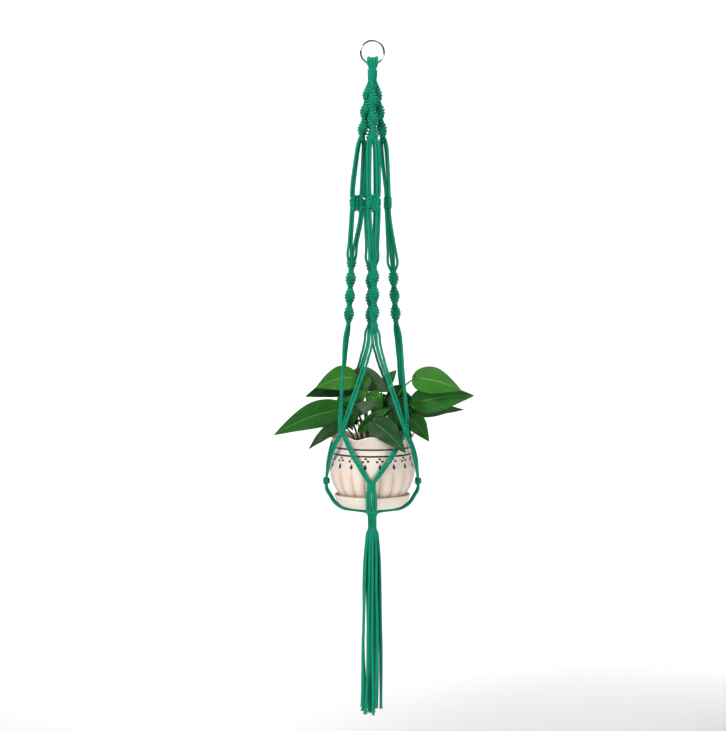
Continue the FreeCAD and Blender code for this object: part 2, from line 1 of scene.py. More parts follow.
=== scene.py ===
"""Hanging macrame planter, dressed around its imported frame.

Every size below is in millimetres in the frame's own axes: the ring's centre is the origin, +Z is up
and the front leg is towards -Y. A finished mesh is turned to metres once, by ``Piece.finish``.
"""

import logging
import math
import random
from dataclasses import dataclass, field
from enum import Enum
from typing import Callable, Iterable, Sequence

import bmesh
import bpy
import numpy as np
from mathutils import Matrix, Vector

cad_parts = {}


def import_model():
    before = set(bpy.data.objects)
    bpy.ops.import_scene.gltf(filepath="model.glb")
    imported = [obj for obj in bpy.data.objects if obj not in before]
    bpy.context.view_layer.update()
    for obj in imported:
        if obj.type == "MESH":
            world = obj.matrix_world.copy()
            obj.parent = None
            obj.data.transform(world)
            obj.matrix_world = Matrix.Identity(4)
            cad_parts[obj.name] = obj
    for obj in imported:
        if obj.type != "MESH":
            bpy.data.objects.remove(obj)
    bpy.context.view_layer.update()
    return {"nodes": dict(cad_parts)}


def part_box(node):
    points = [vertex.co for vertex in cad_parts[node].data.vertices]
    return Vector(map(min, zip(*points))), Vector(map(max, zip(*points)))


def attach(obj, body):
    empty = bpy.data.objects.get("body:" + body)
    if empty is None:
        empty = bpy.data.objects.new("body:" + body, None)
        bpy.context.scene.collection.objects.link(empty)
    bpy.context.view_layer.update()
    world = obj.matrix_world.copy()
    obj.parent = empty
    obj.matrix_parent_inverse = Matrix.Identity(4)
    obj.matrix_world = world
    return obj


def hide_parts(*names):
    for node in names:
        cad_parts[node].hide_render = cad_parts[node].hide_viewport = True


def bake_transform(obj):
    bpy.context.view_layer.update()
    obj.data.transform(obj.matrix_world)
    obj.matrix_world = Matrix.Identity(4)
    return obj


log = logging.getLogger("planter")
MM = 0.001
Route = Sequence[Vector]
Socket = bpy.types.NodeSocket
Value = Socket | float | tuple


# ---------------------------------------------------------------- small helpers
def linear(code: str) -> tuple[float, float, float, float]:
    """Turn an sRGB hex colour to linear values.

    Args:
        code: six hex digits, such as "1f9070".

    Returns:
        Red, green, blue and an alpha of 1.
    """
    values = [int(code[at:at + 2], 16) / 255 for at in (0, 2, 4)]
    return tuple(v / 12.92 if v <= 0.04045 else ((v + 0.055) / 1.055) ** 2.4 for v in values) + (1.0,)


def polar(out: float, across: float, height: float, angle: float) -> Vector:
    """A point given outwards, across and up, in a frame turned by angle degrees about Z."""
    turn = math.radians(angle)
    return Vector((out * math.cos(turn) - across * math.sin(turn),
                   out * math.sin(turn) + across * math.cos(turn), height))


def turned(x: float, y: float, angle: float) -> tuple[float, float]:
    """A flat point turned by angle degrees."""
    turn = math.radians(angle)
    return x * math.cos(turn) - y * math.sin(turn), x * math.sin(turn) + y * math.cos(turn)


class Shade:
    """A new material with a Principled shader, and short calls that grow its node tree."""

    def __init__(self, name: str) -> None:
        """Start the material of this name."""
        self.material = bpy.data.materials.new(name)
        self.material.use_nodes = True
        self.tree = self.material.node_tree
        self.shader = self.tree.nodes["Principled BSDF"]
        self.place: Socket | None = None

    def node(self, kind: str, links: dict | None = None, values: dict | None = None, **settings) -> bpy.types.Node:
        """Add a node with its settings, constants and incoming links.

        Args:
            kind: the node's type name, without its "ShaderNode".
            links: input name or number to the output socket that feeds it.
            values: input name or number to a constant.
            **settings: the node's own properties.

        Returns:
            The new node.
        """
        made = self.tree.nodes.new("ShaderNode" + kind)
        for name, value in settings.items():
            setattr(made, name, value)
        for name, value in (values or {}).items():
            made.inputs[name].default_value = value
        for name, socket in (links or {}).items():
            self.tree.links.new(socket, made.inputs[name])
        return made

    def feed(self, target: Socket, value: Value) -> None:
        """Link a socket to an input, or set the input to a constant."""
        if isinstance(value, Socket):
            self.tree.links.new(value, target)
        else:
            target.default_value = value

    def math(self, operation: str, *inputs: Value) -> Socket:
        """The result of a Math node over sockets and numbers."""
        made = self.node("Math", operation=operation)
        for target, value in zip(made.inputs, inputs):
            self.feed(target, value)
        return made.outputs[0]

    def mix(self, share: Value, first: Value, second: Value) -> Socket:
        """Two colours mixed by share, each a socket or linear values."""
        made = self.node("Mix", data_type="RGBA")
        for index, value in ((0, share), (6, first), (7, second)):
            self.feed(made.inputs[index], value)
        return made.outputs[2]

    def texture(self, kind: str, scale: float, **values: float) -> Socket:
        """A texture in the piece's own coordinates, its scale in cells to the metre."""
        if self.place is None:
            self.place = self.node("TexCoord").outputs["Object"]
        return self.node("Tex" + kind, {0: self.place}, {"Scale": scale, **values}).outputs[0]

    def noise(self, scale: float, detail: float = 2.0) -> Socket:
        """Noise with this many cells to the metre."""
        return self.texture("Noise", scale, Detail=detail)

    def uv(self) -> tuple[Socket, Socket]:
        """The piece's U and V."""
        parts = self.node("SeparateXYZ", {0: self.node("UVMap", uv_map="UVMap").outputs[0]})
        return parts.outputs[0], parts.outputs[1]

    def attribute(self, name: str) -> Socket:
        """A number stored on the piece's points."""
        return self.node("Attribute", attribute_name=name).outputs["Fac"]

    def put(self, name: str, value: Value) -> None:
        """Set or link one of the shader's own inputs."""
        self.feed(self.shader.inputs[name], value)

    def bump(self, height: Socket, strength: float, depth: float) -> None:
        """Raise the surface by a height, depth in millimetres."""
        made = self.node("Bump", {"Height": height}, {"Strength": strength, "Distance": depth * MM})
        self.put("Normal", made.outputs[0])


# ---------------------------------------------------------------- finishes
@dataclass(frozen=True)
class TwistedCotton:
    """Dyed cotton cord, three plies of fine yarn twisted together: matt, with a faint bloom and painted shade in the
    grooves between the plies.
    """

    name: str = "twisted_cotton_green"
    face: str = "0cae88"
    # painted shade: the colour the grooves between the plies darken to
    groove_shade: str = "00140e"
    bloom: str = "2fae8c"
    yarn: float = 1.3             # mm between the yarns that show on a ply

    def make(self) -> bpy.types.Material:
        """Build the material; U counts plies passed and V is millimetres along the cord."""
        shade = Shade(self.name)
        plies, along = shade.uv()
        crest = shade.math("ABSOLUTE", shade.math("COSINE", shade.math("MULTIPLY", plies, math.pi)))
        yarns = shade.math("ADD", shade.math("MULTIPLY", along, 2 * math.pi / self.yarn),
                           shade.math("MULTIPLY", plies, 4 * math.pi))
        yarns = shade.math("MULTIPLY_ADD", shade.math("COSINE", yarns), 0.5, 0.5)
        cloudy, fuzz = shade.noise(45.0, 3.0), shade.noise(1400.0)
        # painted shade: darker away from each ply's crest, in the grooves between plies, and faintly between the
        # yarns; cloudy adds random tone
        tone = shade.math("MULTIPLY_ADD", shade.math("POWER", crest, 0.8), 0.95, shade.math("MULTIPLY", cloudy, 0.3))
        tone = shade.math("MULTIPLY_ADD", yarns, 0.12, shade.math("SUBTRACT", tone, 0.2))
        base = shade.mix(tone, linear(self.groove_shade), linear(self.face))
        light = shade.math("MULTIPLY", shade.math("POWER", fuzz, 3.0), 0.6)
        shade.put("Base Color", shade.mix(light, base, linear(self.bloom)))
        shade.bump(shade.math("ADD", shade.math("MULTIPLY", fuzz, 0.6), yarns), 0.7, 0.4)
        shade.put("Roughness", 0.9)
        shade.put("Specular IOR Level", 0.2)
        shade.put("Sheen Weight", 0.03)
        shade.put("Sheen Roughness", 0.5)
        return shade.material


@dataclass(frozen=True)
class PolishedSteel:
    """Drawn steel wire, welded and polished: bright, with faint drawing marks."""

    name: str = "polished_steel"

    def make(self) -> bpy.types.Material:
        """Build the material."""
        shade = Shade(self.name)
        marks = shade.noise(700.0, 3.0)
        shade.put("Roughness", shade.math("MULTIPLY_ADD", marks, 0.1, 0.04))
        shade.bump(marks, 0.12, 0.1)
        shade.put("Base Color", linear("9c9d9f"))
        shade.put("Metallic", 1.0)
        return shade.material


@dataclass(frozen=True)
class CreamGlaze:
    """Moulded pot body in a satin cream glaze, with painted shade: darker and warmer between the lobes and all over
    the inside.
    """

    name: str = "satin_cream_glaze"
    face: str = "f3e4d8"
    hollow_shade: str = "d6b495"
    ribs: float = 0.0             # fine upright ribs round the piece, per turn; 0 for none

    def make(self) -> bpy.types.Material:
        """Build the material."""
        shade = Shade(self.name)
        cloudy, speck = shade.noise(28.0, 4.0), shade.noise(900.0)
        # painted shade from the hollow attribute: deepest between the lobes and over the whole inside
        share = shade.math("MULTIPLY_ADD", cloudy, 0.35, shade.math("MULTIPLY", shade.attribute("hollow"), 0.85))
        share = shade.math("SUBTRACT", share, 0.08)
        shade.put("Base Color", shade.mix(share, linear(self.face), linear(self.hollow_shade)))
        height = shade.math("MULTIPLY", speck, 0.2)
        if self.ribs:
            wave = shade.math("COSINE", shade.math("MULTIPLY", shade.uv()[0], 2 * math.pi * self.ribs))
            height = shade.math("ADD", height, shade.math("MULTIPLY", wave, shade.attribute("rim")))
        shade.bump(height, 0.8, 0.5)
        shade.put("Roughness", shade.math("MULTIPLY_ADD", speck, 0.12, 0.36))
        return shade.material


@dataclass(frozen=True)
class BlackGlaze:
    """Black slip, painted and trailed on before the last firing: glossy, standing a little proud."""

    name: str = "trailed_black_glaze"

    def make(self) -> bpy.types.Material:
        """Build the material."""
        shade = Shade(self.name)
        thin = shade.noise(600.0, 3.0)
        shade.put("Base Color", shade.mix(shade.math("POWER", thin, 3.0), linear("17171b"), linear("4a4a55")))
        shade.put("Roughness", shade.math("MULTIPLY_ADD", thin, 0.3, 0.22))
        return shade.material


@dataclass(frozen=True)
class PottingSoil:
    """Damp potting soil: dark, crumbly and quite matt."""

    name: str = "damp_potting_soil"

    def make(self) -> bpy.types.Material:
        """Build the material."""
        shade = Shade(self.name)
        crumbs, grain = shade.texture("Voronoi", 420.0), shade.noise(260.0, 5.0)
        shade.put("Base Color", shade.mix(grain, linear("1d140d"), linear("5a4330")))
        shade.bump(shade.math("SUBTRACT", grain, crumbs), 0.9, 1.5)
        shade.put("Roughness", 0.95)
        return shade.material


@dataclass(frozen=True)
class Leaf:
    """A waxy leaf: a pale midrib, fine side veins and a gloss broken by the veins' quilting."""

    name: str
    face: str
    deep: str
    vein: str
    roughness: float = 0.36
    veins: int = 11               # side veins to a blade's length

    def make(self) -> bpy.types.Material:
        """Build the material; U runs along the blade and V across it, both 0 to 1."""
        shade = Shade(self.name)
        along, across = shade.uv()
        side = shade.math("ABSOLUTE", shade.math("SUBTRACT", across, 0.5))
        lines = shade.math("MULTIPLY", shade.math("MULTIPLY_ADD", side, -0.9, along), 2 * math.pi * self.veins)
        vein = shade.math("POWER", shade.math("MULTIPLY_ADD", shade.math("COSINE", lines), 0.5, 0.5), 9.0)
        near_rib = shade.math("SMOOTH_MIN", shade.math("MULTIPLY", side, 26.0), 1.0, 0.3)
        rib = shade.math("SUBTRACT", 1.0, near_rib)
        patchy, fine = shade.noise(55.0, 4.0), shade.noise(900.0)
        base = shade.mix(patchy, linear(self.deep), linear(self.face))
        base = shade.mix(shade.math("MULTIPLY", vein, 0.2), base, linear(self.vein))
        shade.put("Base Color", shade.mix(shade.math("MULTIPLY", rib, 0.75), base, linear(self.vein)))
        quilting = shade.math("ADD", shade.math("MULTIPLY", vein, 0.5), rib)
        shade.bump(shade.math("SUBTRACT", shade.math("MULTIPLY", fine, 0.3), quilting), 0.5, 0.6)
        shade.put("Roughness", shade.math("MULTIPLY_ADD", patchy, 0.2, self.roughness - 0.1))
        shade.put("Specular IOR Level", 0.28)
        return shade.material


class Body(Enum):
    """The frame's bodies."""

    RING = "ring"
    GATHERING = "gathering"
    HANGER = "hanger"
    PLANTER = "planter"
    TASSEL = "tassel"


class Slot(Enum):
    """The record's material slots."""

    RING = "steel_ring"
    CORD = "cotton_cord"
    GLAZE = "cream_glaze"
    SOIL = "soil"
    LEAF = "leaf"


@dataclass
class Piece:
    """A mesh on its way to being a finished piece."""

    name: str
    mesh: bpy.types.Mesh
    body: Body
    slot: Slot
    material: bpy.types.Material
    replaces: tuple[str, ...] = ()

    def finish(self) -> bpy.types.Object:
        """Turn the mesh to metres, put it in the scene and hand it to its body.

        Returns:
            The finished object.
        """
        self.mesh.transform(Matrix.Scale(MM, 4))
        self.mesh.polygons.foreach_set("use_smooth", [True] * len(self.mesh.polygons))
        self.mesh.materials.clear()
        self.mesh.materials.append(self.material)
        made = bpy.data.objects.new(self.name, self.mesh)
        bpy.context.scene.collection.objects.link(made)
        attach(made, self.body.value)
        if self.replaces:
            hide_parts(*self.replaces)
        log.info("%s: %d faces", self.name, len(self.mesh.polygons))
        return made

    def bridge(self) -> None:
        """Finish a piece that runs between two bodies, then take it off its body and keep it where it stands."""
        made = self.finish()
        made.parent = None            # off its body, kept where it stands
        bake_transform(made)


# ---------------------------------------------------------------- cord meshes
@dataclass(frozen=True)
class CordStyle:
    """How a cord's surface is modelled: plies twisted together, each standing proud."""

    diameter: float = 4.2
    bevel: int = 7                # gives 18 sides
    ring_step: float = 1.2
    plies: int = 3
    lay: float = 10.0             # mm of cord for one whole turn of the twist
    relief: float = 1.0


def nurbs_object(routes: Iterable[Route], bevel: float = 0.0, bevel_resolution: int = 0,
                 step: float = 1.3) -> bpy.types.Object:
    """A curve object whose smooth lines have the routes' points as control points."""
    curve = bpy.data.curves.new("line", "CURVE")
    curve.dimensions = "3D"
    for route in routes:
        spline = curve.splines.new("NURBS")
        spline.points.add(len(route) - 1)
        for point, place in zip(spline.points, route):
            point.co = (*place, 1.0)
        spline.order_u = 3
        spline.use_endpoint_u = True
        length = sum((b - a).length for a, b in zip(route, route[1:]))
        spline.resolution_u = max(2, round(length / step / max(1, len(route) - 1)))
    curve.bevel_depth = bevel
    curve.bevel_resolution = bevel_resolution
    curve.use_fill_caps = bevel > 0
    made = bpy.data.objects.new("line", curve)
    bpy.context.scene.collection.objects.link(made)
    return made


def evaluated_mesh(made: bpy.types.Object) -> bpy.types.Mesh:
    """The object's mesh after evaluation; the object itself is removed."""
    graph = bpy.context.evaluated_depsgraph_get()
    mesh = bpy.data.meshes.new_from_object(made.evaluated_get(graph))
    bpy.data.objects.remove(made)
    return mesh


def smooth_line(route: Route, step: float = 3.0) -> list[Vector]:
    """Points along the route's smooth line."""
    mesh = evaluated_mesh(nurbs_object([route], step=step))
    return [vertex.co.copy() for vertex in mesh.vertices]


def cord_mesh(routes: Sequence[Route], style: CordStyle, diameters: Sequence[float] | None = None) -> bpy.types.Mesh:
    """Twisted cords along their routes, as one mesh.

    Args:
        routes: control points of each cord.
        style: how the surface is modelled.
        diameters: each cord's own diameter, if they differ.

    Returns:
        A mesh whose UV map holds the count of plies passed and the millimetres along the cord.
    """
    joined = bmesh.new()
    joined.loops.layers.uv.new("UVMap")
    for index, route in enumerate(routes):
        diameter = diameters[index] if diameters else style.diameter
        radius = diameter / 2
        mesh = evaluated_mesh(nurbs_object([route], radius, style.bevel, style.ring_step))
        line = smooth_line(route, style.ring_step)
        travelled = np.cumsum([0.0] + [(b - a).length for a, b in zip(line, line[1:])])
        count = len(mesh.vertices)
        places = np.empty(count * 3)
        mesh.vertices.foreach_get("co", places)
        outward = np.empty(count * 3)
        mesh.vertices.foreach_get("normal", outward)
        loops = np.empty(len(mesh.loops), dtype=np.int32)
        mesh.loops.foreach_get("vertex_index", loops)
        uv_data = mesh.uv_layers[0].data
        uvs = np.empty(len(mesh.loops) * 2)
        uv_data.foreach_get("uv", uvs)
        uvs = uvs.reshape(-1, 2)
        runs = travelled[np.rint(uvs[:, 0] * (len(line) - 1)).astype(int)]
        mine = np.zeros((count, 2))
        mine[loops] = np.stack([uvs[:, 1], runs], axis=1)
        around, along = mine[:, 0], mine[:, 1]
        twist = style.plies * (around - along / style.lay) + index * 0.37
        height = np.abs(np.cos(math.pi * twist)) ** 0.8 - 0.72
        places = places.reshape(-1, 3) + outward.reshape(-1, 3) * (style.relief * height)[:, None]
        mesh.vertices.foreach_set("co", places.ravel())
        uvs[:, 0] = style.plies * (uvs[:, 1] - runs / style.lay) + index * 0.37
        uvs[:, 1] = runs
        uv_data.foreach_set("uv", uvs.ravel())
        mesh.uv_layers[0].name = "UVMap"
        joined.from_mesh(mesh)
        bpy.data.meshes.remove(mesh)
    bmesh.ops.remove_doubles(joined, verts=joined.verts, dist=0.0001)
    whole = bpy.data.meshes.new("cords")
    joined.to_mesh(whole)
    joined.free()
    return whole


# ---------------------------------------------------------------- layout shared with the frame
LEGS = ("right", "back", "left", "front")
CORNERS = ("back_right", "back_left", "front_left", "front_right")
LEG_YAW = 4.5
CORNER_YAW = 2.4
LOWER_YAW = -1.5
KNOT_TURN = {"right": 0.0, "back": 8.0, "left": -64.0, "front": 4.0}
LOWER_SPIRAL = {"right": (-331.0, 19), "back": (-323.0, 22), "left": (-318.0, 22), "front": (-323.0, 22)}
ROW = (-1.5, -0.5, 0.5, 1.5)
PAIRS = (-2.4, -1.4, 1.4, 2.4)
SPACING = 4.4
HALF_KNOT = 4.5
TURN_PER_KNOT = 30.0


def leg_angle(leg: str) -> float:
    """The leg's direction, degrees from +X."""
    return LEG_YAW + 90.0 * LEGS.index(leg)


def lower_angle(leg: str) -> float:
    """The lower knot's direction."""
    return LOWER_YAW + 90.0 * LEGS.index(leg)


def corner_angle(name: str) -> float:
    """The corner knot's direction."""
    return CORNER_YAW + 45.0 + 90.0 * CORNERS.index(name)


def box_mm(name: str) -> tuple[Vector, Vector]:
    """A frame node's lowest and highest corners in millimetres."""
    low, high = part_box(name)
    return Vector(low) / MM, Vector(high) / MM


# ---------------------------------------------------------------- studio
@dataclass(frozen=True)
class Lamp:
    """A square soft light: its place and aim, its width, and its power in watts."""

    name: str
    place: tuple[float, float, float]
    aim: tuple[float, float, float]
    width: float
    power: float

    def build(self) -> None:
        """Put the light in the scene."""
        data = bpy.data.lights.new(self.name, "AREA")
        data.size = self.width * MM
        data.energy = self.power
        made = bpy.data.objects.new(self.name, data)
        made.location = Vector(self.place) * MM
        made.rotation_euler = (Vector(self.aim) - Vector(self.place)).to_track_quat("-Z", "Y").to_euler()
        bpy.context.scene.collection.objects.link(made)


@dataclass
class Studio:
    """Plain pale room, soft lights and the camera."""

    LAMPS = (
        Lamp("key", (-1700, -1500, 1000), (0, 0, -500), 800, 73),
        Lamp("fill", (1700, -1900, -500), (0, 0, -500), 1200, 20),
        Lamp("top", (500, 200, 1300), (0, 0, -450), 900, 18),
        Lamp("wall_left", (-1700, 1900, 200), (-300, 3800, -400), 1600, 34),
        Lamp("wall_right", (1700, 1900, 200), (300, 3800, -400), 1600, 34),
    )

    eye: Vector = field(default_factory=lambda: Vector((-14.4, -2704.0, -330.0)))
    aim: Vector = field(default_factory=lambda: Vector((-14.4, 0.0, -481.5)))
    lens: float = 86.0
    floor_z: float = -1300.0

    def build(self) -> None:
        """Make the room, the lights and the camera."""
        self.camera()
        self.room()
        for name, side in (("flag_left", -1), ("flag_right", 1)):
            self.flag(name, side)
        for lamp in self.LAMPS:
            lamp.build()
        world = bpy.data.worlds.new("room_light")
        world.use_nodes = True
        background = world.node_tree.nodes["Background"]
        background.inputs["Color"].default_value = linear("f4f6f8")
        background.inputs["Strength"].default_value = 0.24
        bpy.context.scene.world = world
        bpy.context.scene.view_settings.view_transform = "Standard"

    @staticmethod
    def card(name: str, colour: str) -> bpy.types.Material:
        """A matt card or paper of one colour."""
        shade = Shade(name)
        shade.put("Base Color", linear(colour))
        shade.put("Roughness", 0.9)
        return shade.material

    def camera(self) -> None:
        """A level camera at a little below the spirals, tipped down to the pot."""
        data = bpy.data.cameras.new("camera")
        data.lens = self.lens
        data.sensor_width = 36.0
        made = bpy.data.objects.new("camera", data)
        made.location = self.eye * MM
        made.rotation_euler = (self.aim - self.eye).to_track_quat("-Z", "Y").to_euler()
        bpy.context.scene.collection.objects.link(made)
        bpy.context.scene.camera = made

    def room(self) -> None:
        """A floor that curves up into a wall behind."""
        bm = bmesh.new()
        start = bm.verts.new((-4000, -3600, self.floor_z))
        edge = bm.verts.new((4000, -3600, self.floor_z))
        row = [bm.edges.new((start, edge))]
        steps = [Vector((0, 6500, 0))]
        bend = 12
        for index in range(bend):
            angle = math.radians(90.0 * (index + 0.5) / bend)
            steps.append(Vector((0, math.cos(angle), math.sin(angle))) * (900 * math.pi / 2 / bend))
        steps.append(Vector((0, 0, 4200)))
        for step in steps:
            grown = bmesh.ops.extrude_edge_only(bm, edges=row)["geom"]
            row = [item for item in grown if isinstance(item, bmesh.types.BMEdge)]
            points = [item for item in grown if isinstance(item, bmesh.types.BMVert)]
            bmesh.ops.translate(bm, verts=points, vec=step)
        bmesh.ops.recalc_face_normals(bm, faces=bm.faces)
        mesh = bpy.data.meshes.new("room")
        bm.to_mesh(mesh)
        bm.free()
        mesh.transform(Matrix.Scale(MM, 4))
        mesh.polygons.foreach_set("use_smooth", [True] * len(mesh.polygons))
        mesh.materials.append(self.card("matt_white_paper", "f7f7f6"))
        made = bpy.data.objects.new("room", mesh)
        bpy.context.scene.collection.objects.link(made)

    def flag(self, name: str, side: int) -> None:
        """A black card beside the ring, out of view, that the polished wire mirrors as a dark edge."""
        bm = bmesh.new()
        bmesh.ops.create_grid(bm, x_segments=1, y_segments=1, size=0.32)
        bmesh.ops.rotate(bm, verts=bm.verts, matrix=Matrix.Rotation(math.radians(90), 3, "Y"))
        bmesh.ops.translate(bm, verts=bm.verts, vec=(side * 0.72, -0.25, 0.05))
        mesh = bpy.data.meshes.new(name)
        bm.to_mesh(mesh)
        bm.free()
        mesh.materials.append(self.card("black_card", "101011"))
        made = bpy.data.objects.new(name, mesh)
        bpy.context.scene.collection.objects.link(made)
        made.visible_camera = False


# ---------------------------------------------------------------- tassel
@dataclass
class Tassel:
    """Sixteen free strands under the bottom wrap, each cut bare and a little frayed."""

    cotton: bpy.types.Material
    style: CordStyle = field(default_factory=CordStyle)
    fibres: int = 12
    fibre_length: float = 6.2
    fibre_start: float = 3.6      # above the cut end
    seed: int = 4

    LEVELS = (-768.0, -818.0, -872.0, -928.0, -984.0)
    OUTER, OUTER_TOP, INNER_TOP = 12, -741.8, -744.4
    # Each strand's cut end, then its place in plan at its top, at each level and at its end.
    STRANDS = (
        (-1019.5, (7.5, 1), (11, 2), (11.5, 2), (12.5, 4), (13, 5.5), (13.5, 6), (14, 8)),
        (-1021.5, (6, 4.5), (8.5, 7), (8.5, 7.5), (9, 10.5), (8.5, 10.5), (8.5, 13.5), (7, 13.5)),
        (-1027.5, (3, 7), (4.5, 11), (5.5, 11), (4.5, 13), (5, 15.5), (3, 14), (2.5, 15)),
        (-1020, (-1, 7.5), (-1, 11.5), (-2, 12.5), (-1, 14), (-2.5, 14), (-2, 16), (-3, 14)),
        (-1020.5, (-4.5, 6), (-6.5, 9), (-8, 11.5), (-7, 13.5), (-6, 12), (-6, 14), (-7, 13)),
        (-1031, (-7, 3), (-10.5, 4.5), (-12.5, 6.5), (-13, 6), (-14.5, 7.5), (-11, 10.5), (-11.5, 11.5)),
        (-1015, (-7.5, -1), (-11, -1.5), (-13.5, -2), (-13, -1), (-15, -3.5), (-15, -1.5), (-16, -0.5)),
        (-1020.5, (-6, -4.5), (-9, -6.5), (-11.5, -7.5), (-13, -8), (-14.5, -7.5), (-12, -5), (-15, -5)),
        (-1022.5, (-3, -7), (-4, -10), (-4.5, -10.5), (-6, -11), (-7, -14.5), (-8, -11.5), (-10, -14.5)),
        (-1025.5, (1, -7.5), (0.5, -11.5), (0.5, -12), (0, -12.5), (0, -14), (1.5, -14.5), (1.5, -14.5)),
        (-1013.5, (4.5, -6), (7, -9), (6, -11), (8, -12), (8.5, -13), (6.5, -14), (5.5, -12.5)),
        (-1017, (7, -3), (11, -4.5), (12.5, -4.5), (13, -7), (14.5, -5.5), (14, -5.5), (13.5, -5.5)),
        (-1013.5, (1.5, 2), (2.5, 3.5), (2.5, 5.5), (2.5, 6.5), (3, 3.5), (2.5, 5.5), (3, 5)),
        (-1026, (-2, 1.5), (-3, 2.5), (-5, 2.5), (-6, 4), (-7.5, 5), (-4, 4.5), (-5, 5)),
        (-1024, (-1.5, -2), (-3, -3.5), (-2.5, -4.5), (-5, -4), (-3.5, -3.5), (-3, -5.5), (-2.5, -6)),
        (-1012.5, (2, -1.5), (4, -2.5), (4, -4.5), (5.5, -4.5), (4, -3.5), (6, -3.5), (6, -5)),
    )

    @classmethod
    def routes(cls) -> dict[str, list[Vector]]:
        """Each strand's points from the wrap down to its cut end; the outer strands come first."""
        made = {}
        for index, (end, *plan) in enumerate(cls.STRANDS):
            top = cls.OUTER_TOP if index < cls.OUTER else cls.INNER_TOP
            heights = (top, *cls.LEVELS, end)
            made["tassel_strand_%02d" % (index + 1)] = [Vector((*place, z)) for place, z in zip(plan, heights)]
        return made

    def build(self) -> None:
        chance = random.Random(self.seed)
        for name, route in self.routes().items():
            mesh = self.frayed(cord_mesh([route], self.style), route, chance)
            piece = Piece(name + "_cord", mesh, Body.TASSEL, Slot.CORD, self.cotton, (name,)).finish()
            line = smooth_line(route)

    def frayed(self, mesh: bpy.types.Mesh, route: Route, chance: random.Random) -> bpy.types.Mesh:
        """Add loose yarn ends past the strand's cut end."""
        end, before = route[-1], route[-2]
        down = (end - before).normalized()
        whole = bmesh.new()
        whole.from_mesh(mesh)
        yarns = []
        for index in range(self.fibres):
            angle = 2 * math.pi * (index + chance.random() * 0.6) / self.fibres
            out = Vector((math.cos(angle), math.sin(angle), 0))
            start = end - down * self.fibre_start + out * chance.uniform(0.4, 1.4)
            length = self.fibre_length * chance.uniform(0.45, 1.0)
            yarns.append([start, start + down * length * 0.5 + out * 0.6,
                          start + down * length + out * chance.uniform(0.8, 1.9)])
        fray = cord_mesh(yarns, CordStyle(0.9, 1, 1.5, 1, 4.0, 0.0))
        whole.from_mesh(fray)
        whole.to_mesh(mesh)
        whole.free()
        return mesh


# ---------------------------------------------------------------- knotted stretches
@dataclass
class Winding:
    """Two working cords wound over a core: each half knot crosses the front once and the back once."""

    wide: float                   # half width to the working cord's centre
    narrow: float
    cord: float = 4.0
    points_per_knot: int = 8
    crossing_rise: float = 0.22   # a share of the half knot's height

    def routes(self, centre: Callable[[float], Vector], knots: int, first: float, turn: float, angle: float,
               squeeze: Callable[[float], float], step: float = HALF_KNOT) -> list[list[Vector]]:
        """Control points of the two cords.

        Args:
            centre: the core's place at a count of half knots, in the leg's frame (out, across, up).
            knots: how many half knots.
            first: the first half knot's direction in the leg's frame, degrees.
            turn: how far each half knot turns on from the last.
            angle: the leg's own direction.
            squeeze: a share of the full size at a count of half knots.
            step: how far each half knot goes down.

        Returns:
            Two routes.
        """
        made = []
        for start in (0.0, 180.0):
            route = []
            for index in range(knots * self.points_per_knot + 1):
                share = index / self.points_per_knot
                spin = math.radians(start + 180.0 * share)
                size = squeeze(share)
                x, y = turned(self.wide * size * math.cos(spin), self.narrow * size * math.sin(spin),
                              first + turn * (share - 0.5))
                core = centre(share)
                lift = self.crossing_rise * step * math.sin(2 * spin)
                route.append(polar(core.x + x, core.y + y, core.z + lift, angle))
            made.append(route)
        return made


@dataclass
class Spirals:
    """The eight spiral sinnets, four above and four below."""

    cotton: bpy.types.Material
    style: CordStyle = field(default_factory=CordStyle)
    upper_knots: int = 19
    upper_top: float = -47.5
    upper_out: tuple[float, float] = (5.5, 16.5)
    lower_out: tuple[float, float] = (32.0, 37.0)
    lower_phase: dict[str, float] = field(default_factory=lambda: {"left": -30.0, "front": 48.0})
    upper: Winding = field(default_factory=lambda: Winding(7.1, 2.1, 3.9))
    lower: Winding = field(default_factory=lambda: Winding(6.9, 1.7, 4.0))

    def build(self) -> None:
        """Make one piece for each sinnet."""
        for leg in LEGS:
            first = 90.0 - (self.upper_knots - 1) * TURN_PER_KNOT
            self.sinnet("upper_spiral_" + leg, self.upper, self.upper_top, self.upper_knots, self.upper_out,
                        first, leg_angle(leg), 0.62)
            top, knots = LOWER_SPIRAL[leg]
            self.sinnet("lower_spiral_" + leg, self.lower, top, knots, self.lower_out,
                        90.0 + KNOT_TURN[leg] + self.lower_phase.get(leg, 0.0), leg_angle(leg), 0.85)

    def sinnet(self, name: str, winding: Winding, top: float, knots: int, out: tuple[float, float],
               first: float, angle: float, top_size: float) -> None:
        """One sinnet: two working cords wound round two filler strands."""

        def centre(share: float) -> Vector:
            return Vector((out[0] + (out[1] - out[0]) * share / knots, 0, top - share * HALF_KNOT))

        def squeeze(share: float) -> float:
            grow = min(1.0, top_size + share * 0.08)
            return grow * min(1.0, 0.72 + 0.28 * (knots - share))

        routes = winding.routes(centre, knots, first, TURN_PER_KNOT, angle, squeeze)
        sizes = [winding.cord] * 2
        for side in (-1.6, 1.6):
            route = []
            for index in range(knots + 1):
                x, y = turned(side, 0, first + TURN_PER_KNOT * (index - 0.5))
                core = centre(index)
                route.append(polar(core.x + x, core.y + y, core.z, angle))
            routes.append(route)
            sizes.append(3.6)
        mesh = cord_mesh(routes, self.style, sizes)
        Piece(name + "_knots", mesh, Body.HANGER, Slot.CORD, self.cotton, (name,)).finish()


